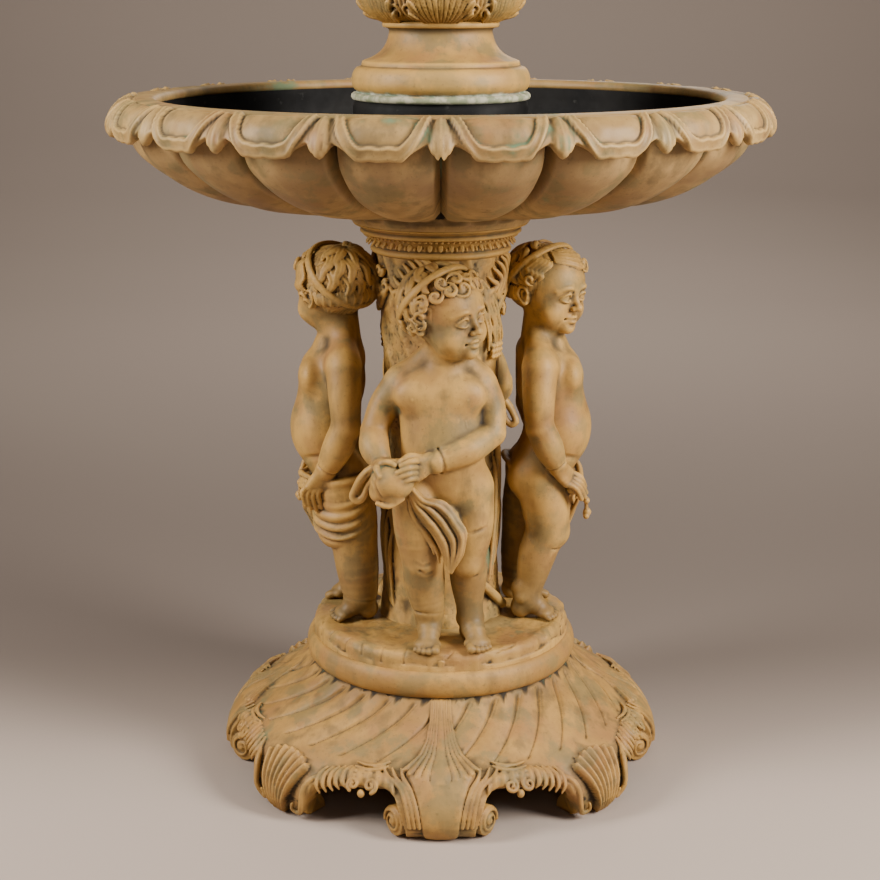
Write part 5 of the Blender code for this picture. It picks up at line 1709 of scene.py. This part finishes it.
def buildStage():
    look = stageLook
    backdrop("floor", look["sweep"], look)
    world = bpy.data.worlds.new("soft room")
    world.use_nodes = True
    back = world.node_tree.nodes["Background"]
    back.inputs["Color"].default_value = (*look["air"], 1.0)
    back.inputs["Strength"].default_value = look["airStrength"]
    bpy.context.scene.world = world
    softLight("left window", (-2.8, -1.1, 2.3), (0, 0, 0.6), (0.9, 1.8), look["leftPower"])
    softLight("right window", (2.6, -1.6, 2.2), (0, 0, 0.6), (0.9, 1.8), look["rightPower"])
    softLight("front fill", (0.2, -4.4, 2.4), (0, 0, 0.4), (2.2, 1.2), look["frontPower"])
    softLight("overhead", (0.0, -1.6, 3.3), (0, -1.0, 0.0), (2.4, 1.2), look["topPower"])
    softLight("back fill", (0.8, 4.2, 2.7), (0, 0, 0.6), (2.2, 1.2), look["backPower"])
    softLight("wall wash", (0.0, 3.4, 2.7), (0, 5.2, 0.5), (6.0, 0.5), look["wallPower"])
    camera = bpy.data.objects.new("camera", bpy.data.cameras.new("camera"))
    bpy.context.scene.collection.objects.link(camera)
    camera.location = look["camera"]
    camera.rotation_euler = (math.radians(90.0 - look["tilt"]), 0.0, 0.0)
    camera.data.lens = look["lens"]
    camera.data.sensor_width = 36.0
    bpy.context.scene.camera = camera


def piece(name, mesh, material, nodes):
    # a finished piece of the fountain, standing for CAD nodes
    if material:
        mesh.materials.clear()
        mesh.materials.append(material)
    for polygon in mesh.polygons:
        polygon.use_smooth = True
    made = bpy.data.objects.new(name, mesh)
    bpy.context.scene.collection.objects.link(made)
    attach(made, "root")
    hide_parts(*nodes)
    print("made", name, len(mesh.loops) - 2 * len(mesh.polygons), "triangles")
    return made


def sculpted(name, clay, triangles, fine=2, broad=24):
    # the clay as a mesh in metres, thinned, with its hollows noted
    points, faces = clay.net()
    mesh = thin(meshFrom(name, points * millimetre, faces), triangles)
    noteCavities(mesh, fine, broad)
    return mesh


def lathed(name, look, key, columns, rows, material):
    growth = Growth(name, {"Columns": columns + 1, "Rows": rows})
    flat, around, along = growth.grid(growth.given["Columns"], growth.given["Rows"])
    radii, heights = byArc(look[key])
    turn = around * math.tau
    radius = growth.profile(along, radii, 600.0)
    height = growth.profile(along, heights, 2000.0)
    return growth.mesh(growth.turned(flat, turn, radius, height), material)


def joined(name, meshes):
    # several meshes as one
    parts = []
    for mesh in meshes:
        part = bpy.data.objects.new(name, mesh)
        bpy.context.scene.collection.objects.link(part)
        parts.append(part)
    with bpy.context.temp_override(active_object=parts[0], selected_editable_objects=parts):
        bpy.ops.object.join()
    whole = parts[0].data
    bpy.data.objects.remove(parts[0])
    return whole


def buildPutti(step, triangles):
    skin = patina("bronze of the putti", puttoLook)
    for build, pair in ((frontPutto, (("putto_front", 0), ("putto_back", 180))),
                        (sidePutto, (("putto_right", 90), ("putto_left", -90)))):
        mesh = sculpted(pair[0][0], build(step), triangles)
        mesh.transform(Matrix.Translation((0.0, -0.1896, 0.292)))
        for nodeName, turn in pair:
            copy = mesh.copy()
            copy.transform(Matrix.Rotation(math.radians(turn), 4, "Z"))
            piece(nodeName + "_carving", copy, skin, [nodeName])


def buildBasin():
    bronze = patina("bronze of the bowl", bowlLook, 2.0)
    growth, shape = fluted(basinLook)
    mesh = growth.mesh(shape, bronze)
    noteCavities(mesh, 3, 20)
    piece("fluted_bowl", mesh, None, ["basin"])
    growth, shape = panelledRim(basinLook)
    bronze = patina("bronze of the rim", rimLook, 5.0)
    mesh = growth.mesh(shape, bronze)
    lip = lathed("lip", basinLook, "lip", 160, 14, bronze)
    for part in (mesh, lip):
        noteCavities(part, 3, 16)
    piece("panelled_rim", joined("rim", [mesh, lip]), None, ["basin"])
    growth, shape = plainInside(basinLook)
    mesh = growth.mesh(shape, charcoal("black inside"))
    noteCavities(mesh)
    piece("basin_inside", mesh, None, ["basin"])


def caulked(tree, place, colour, rough):
    # whitish green caulk where the stem stands in the basin
    height = node(tree, "ShaderNodeSeparateXYZ", None, {"Vector": place})["Z"]
    amount = (height + noise(tree, place, 34.0, 4.0, 41.0) * 0.016).ramp(1.3045, 1.2975)
    patch = noise(tree, place, 60.0, 4.0, 43.0).ramp(0.40, 0.60)
    tint = mixColour(tree, patch, (0.150, 0.200, 0.130), (0.400, 0.400, 0.300))
    return mixColour(tree, amount * 0.85, colour, tint), rough + amount * 0.2


def buildStem():
    bronze = patina("bronze of the stem", stemColours, 8.0, caulked)
    rounds = (("foot", 60), ("neck", 24), ("bud", 34))
    meshes = [lathed("stem " + key, stemLook, key, 96, rows, bronze) for key, rows in rounds]
    for mesh in meshes:
        noteCavities(mesh)
    bulb = sculpted("bulb", tiled(bulbClay(1.6), 6), 46000)
    bulb.materials.append(bronze)
    piece("stem_carving", joined("stem", [bulb, *meshes]), None, ["stem"])


def buildFoot():
    bronze = patina("bronze of the base", baseLookColours, 11.0)
    piece("ornate_base", sculpted("base", tiled(baseClay(2.1), 4), 180000), bronze, ["footed_base"])


def buildColumn():
    bronze = patina("bronze of the trunk", columnLook, 14.0)
    rock = sculpted("rock", rockClay(2.2), 34000)
    trunk = sculpted("trunk", trunkClay(2.0), 96000)
    collar = lathed("collar", collarLook, "profile", 120, 46, bronze)
    ornament = collarOrnament(collarLook, bronze)
    for mesh in (collar, ornament):
        noteCavities(mesh)
    piece("tree_trunk", trunk, bronze, ["rock_and_trunk"])
    piece("rocky_ground", rock, bronze, ["rock_and_trunk"])
    piece("band_under_basin", joined("collar", [collar, ornament]), None, ["rock_and_trunk"])


collarLook = {
    "profile": [(118, 997), (126, 1000), (131, 1004), (131.5, 1008), (129, 1011), (127, 1013), (128.5, 1018),
                (133.5, 1027), (140.5, 1034), (145, 1036), (149.5, 1037.5), (150.5, 1040), (149.5, 1042.5),
                (147.5, 1044), (150, 1047), (156, 1050.5), (162, 1053), (163.5, 1055), (160, 1056.2),
                (120, 1056.5)],
    "leaves": 44,
}


def collarOrnament(look, material):
    # a ring of upright leaves with a bud between each two and a row of beads over them
    growth = Growth("ornament of the band", {"Leaves": look["leaves"]})
    parts = []
    for radius, height, size, tilt, turned, times in ((134.6, 1023.5, (4.4, 2.4, 9.0), -0.62, 0.0, 1),
                                                      (133.0, 1020.5, (3.0, 2.2, 4.6), -0.62, 0.5, 1),
                                                      (142.6, 1033.4, (2.8, 2.2, 2.2), 0.0, 0.25, 2)):
        count = growth.given["Leaves"] * times
        line = growth.node("GeometryNodeMeshLine", None, {"Count": count})["Mesh"]
        index = growth.node("GeometryNodeInputIndex")["Index"]
        turn = (index + turned) * (math.tau / (look["leaves"] * times))
        ring = growth.turned(line, turn, radius, height)
        bead = growth.node("GeometryNodeMeshIcoSphere", None,
                           {"Radius": millimetre, "Subdivisions": 2})["Mesh"]
        way = growth.node("ShaderNodeCombineXYZ", None, {"X": tilt, "Y": 0.0, "Z": turn})["Vector"]
        values = {"Points": ring, "Instance": bead, "Rotation": way, "Scale": size}
        parts.append(growth.node("GeometryNodeInstanceOnPoints", None, values)["Instances"])
    both = growth.tree.nodes.new("GeometryNodeJoinGeometry")
    for part in parts:
        growth.tree.links.new(part.socket, both.inputs[0])
    return growth.mesh(Flow(growth.tree, both.outputs[0]), material, 0.00001)


buildStage()
buildPutti(1.8, 98000)
buildBasin()
buildStem()
buildFoot()
buildColumn()
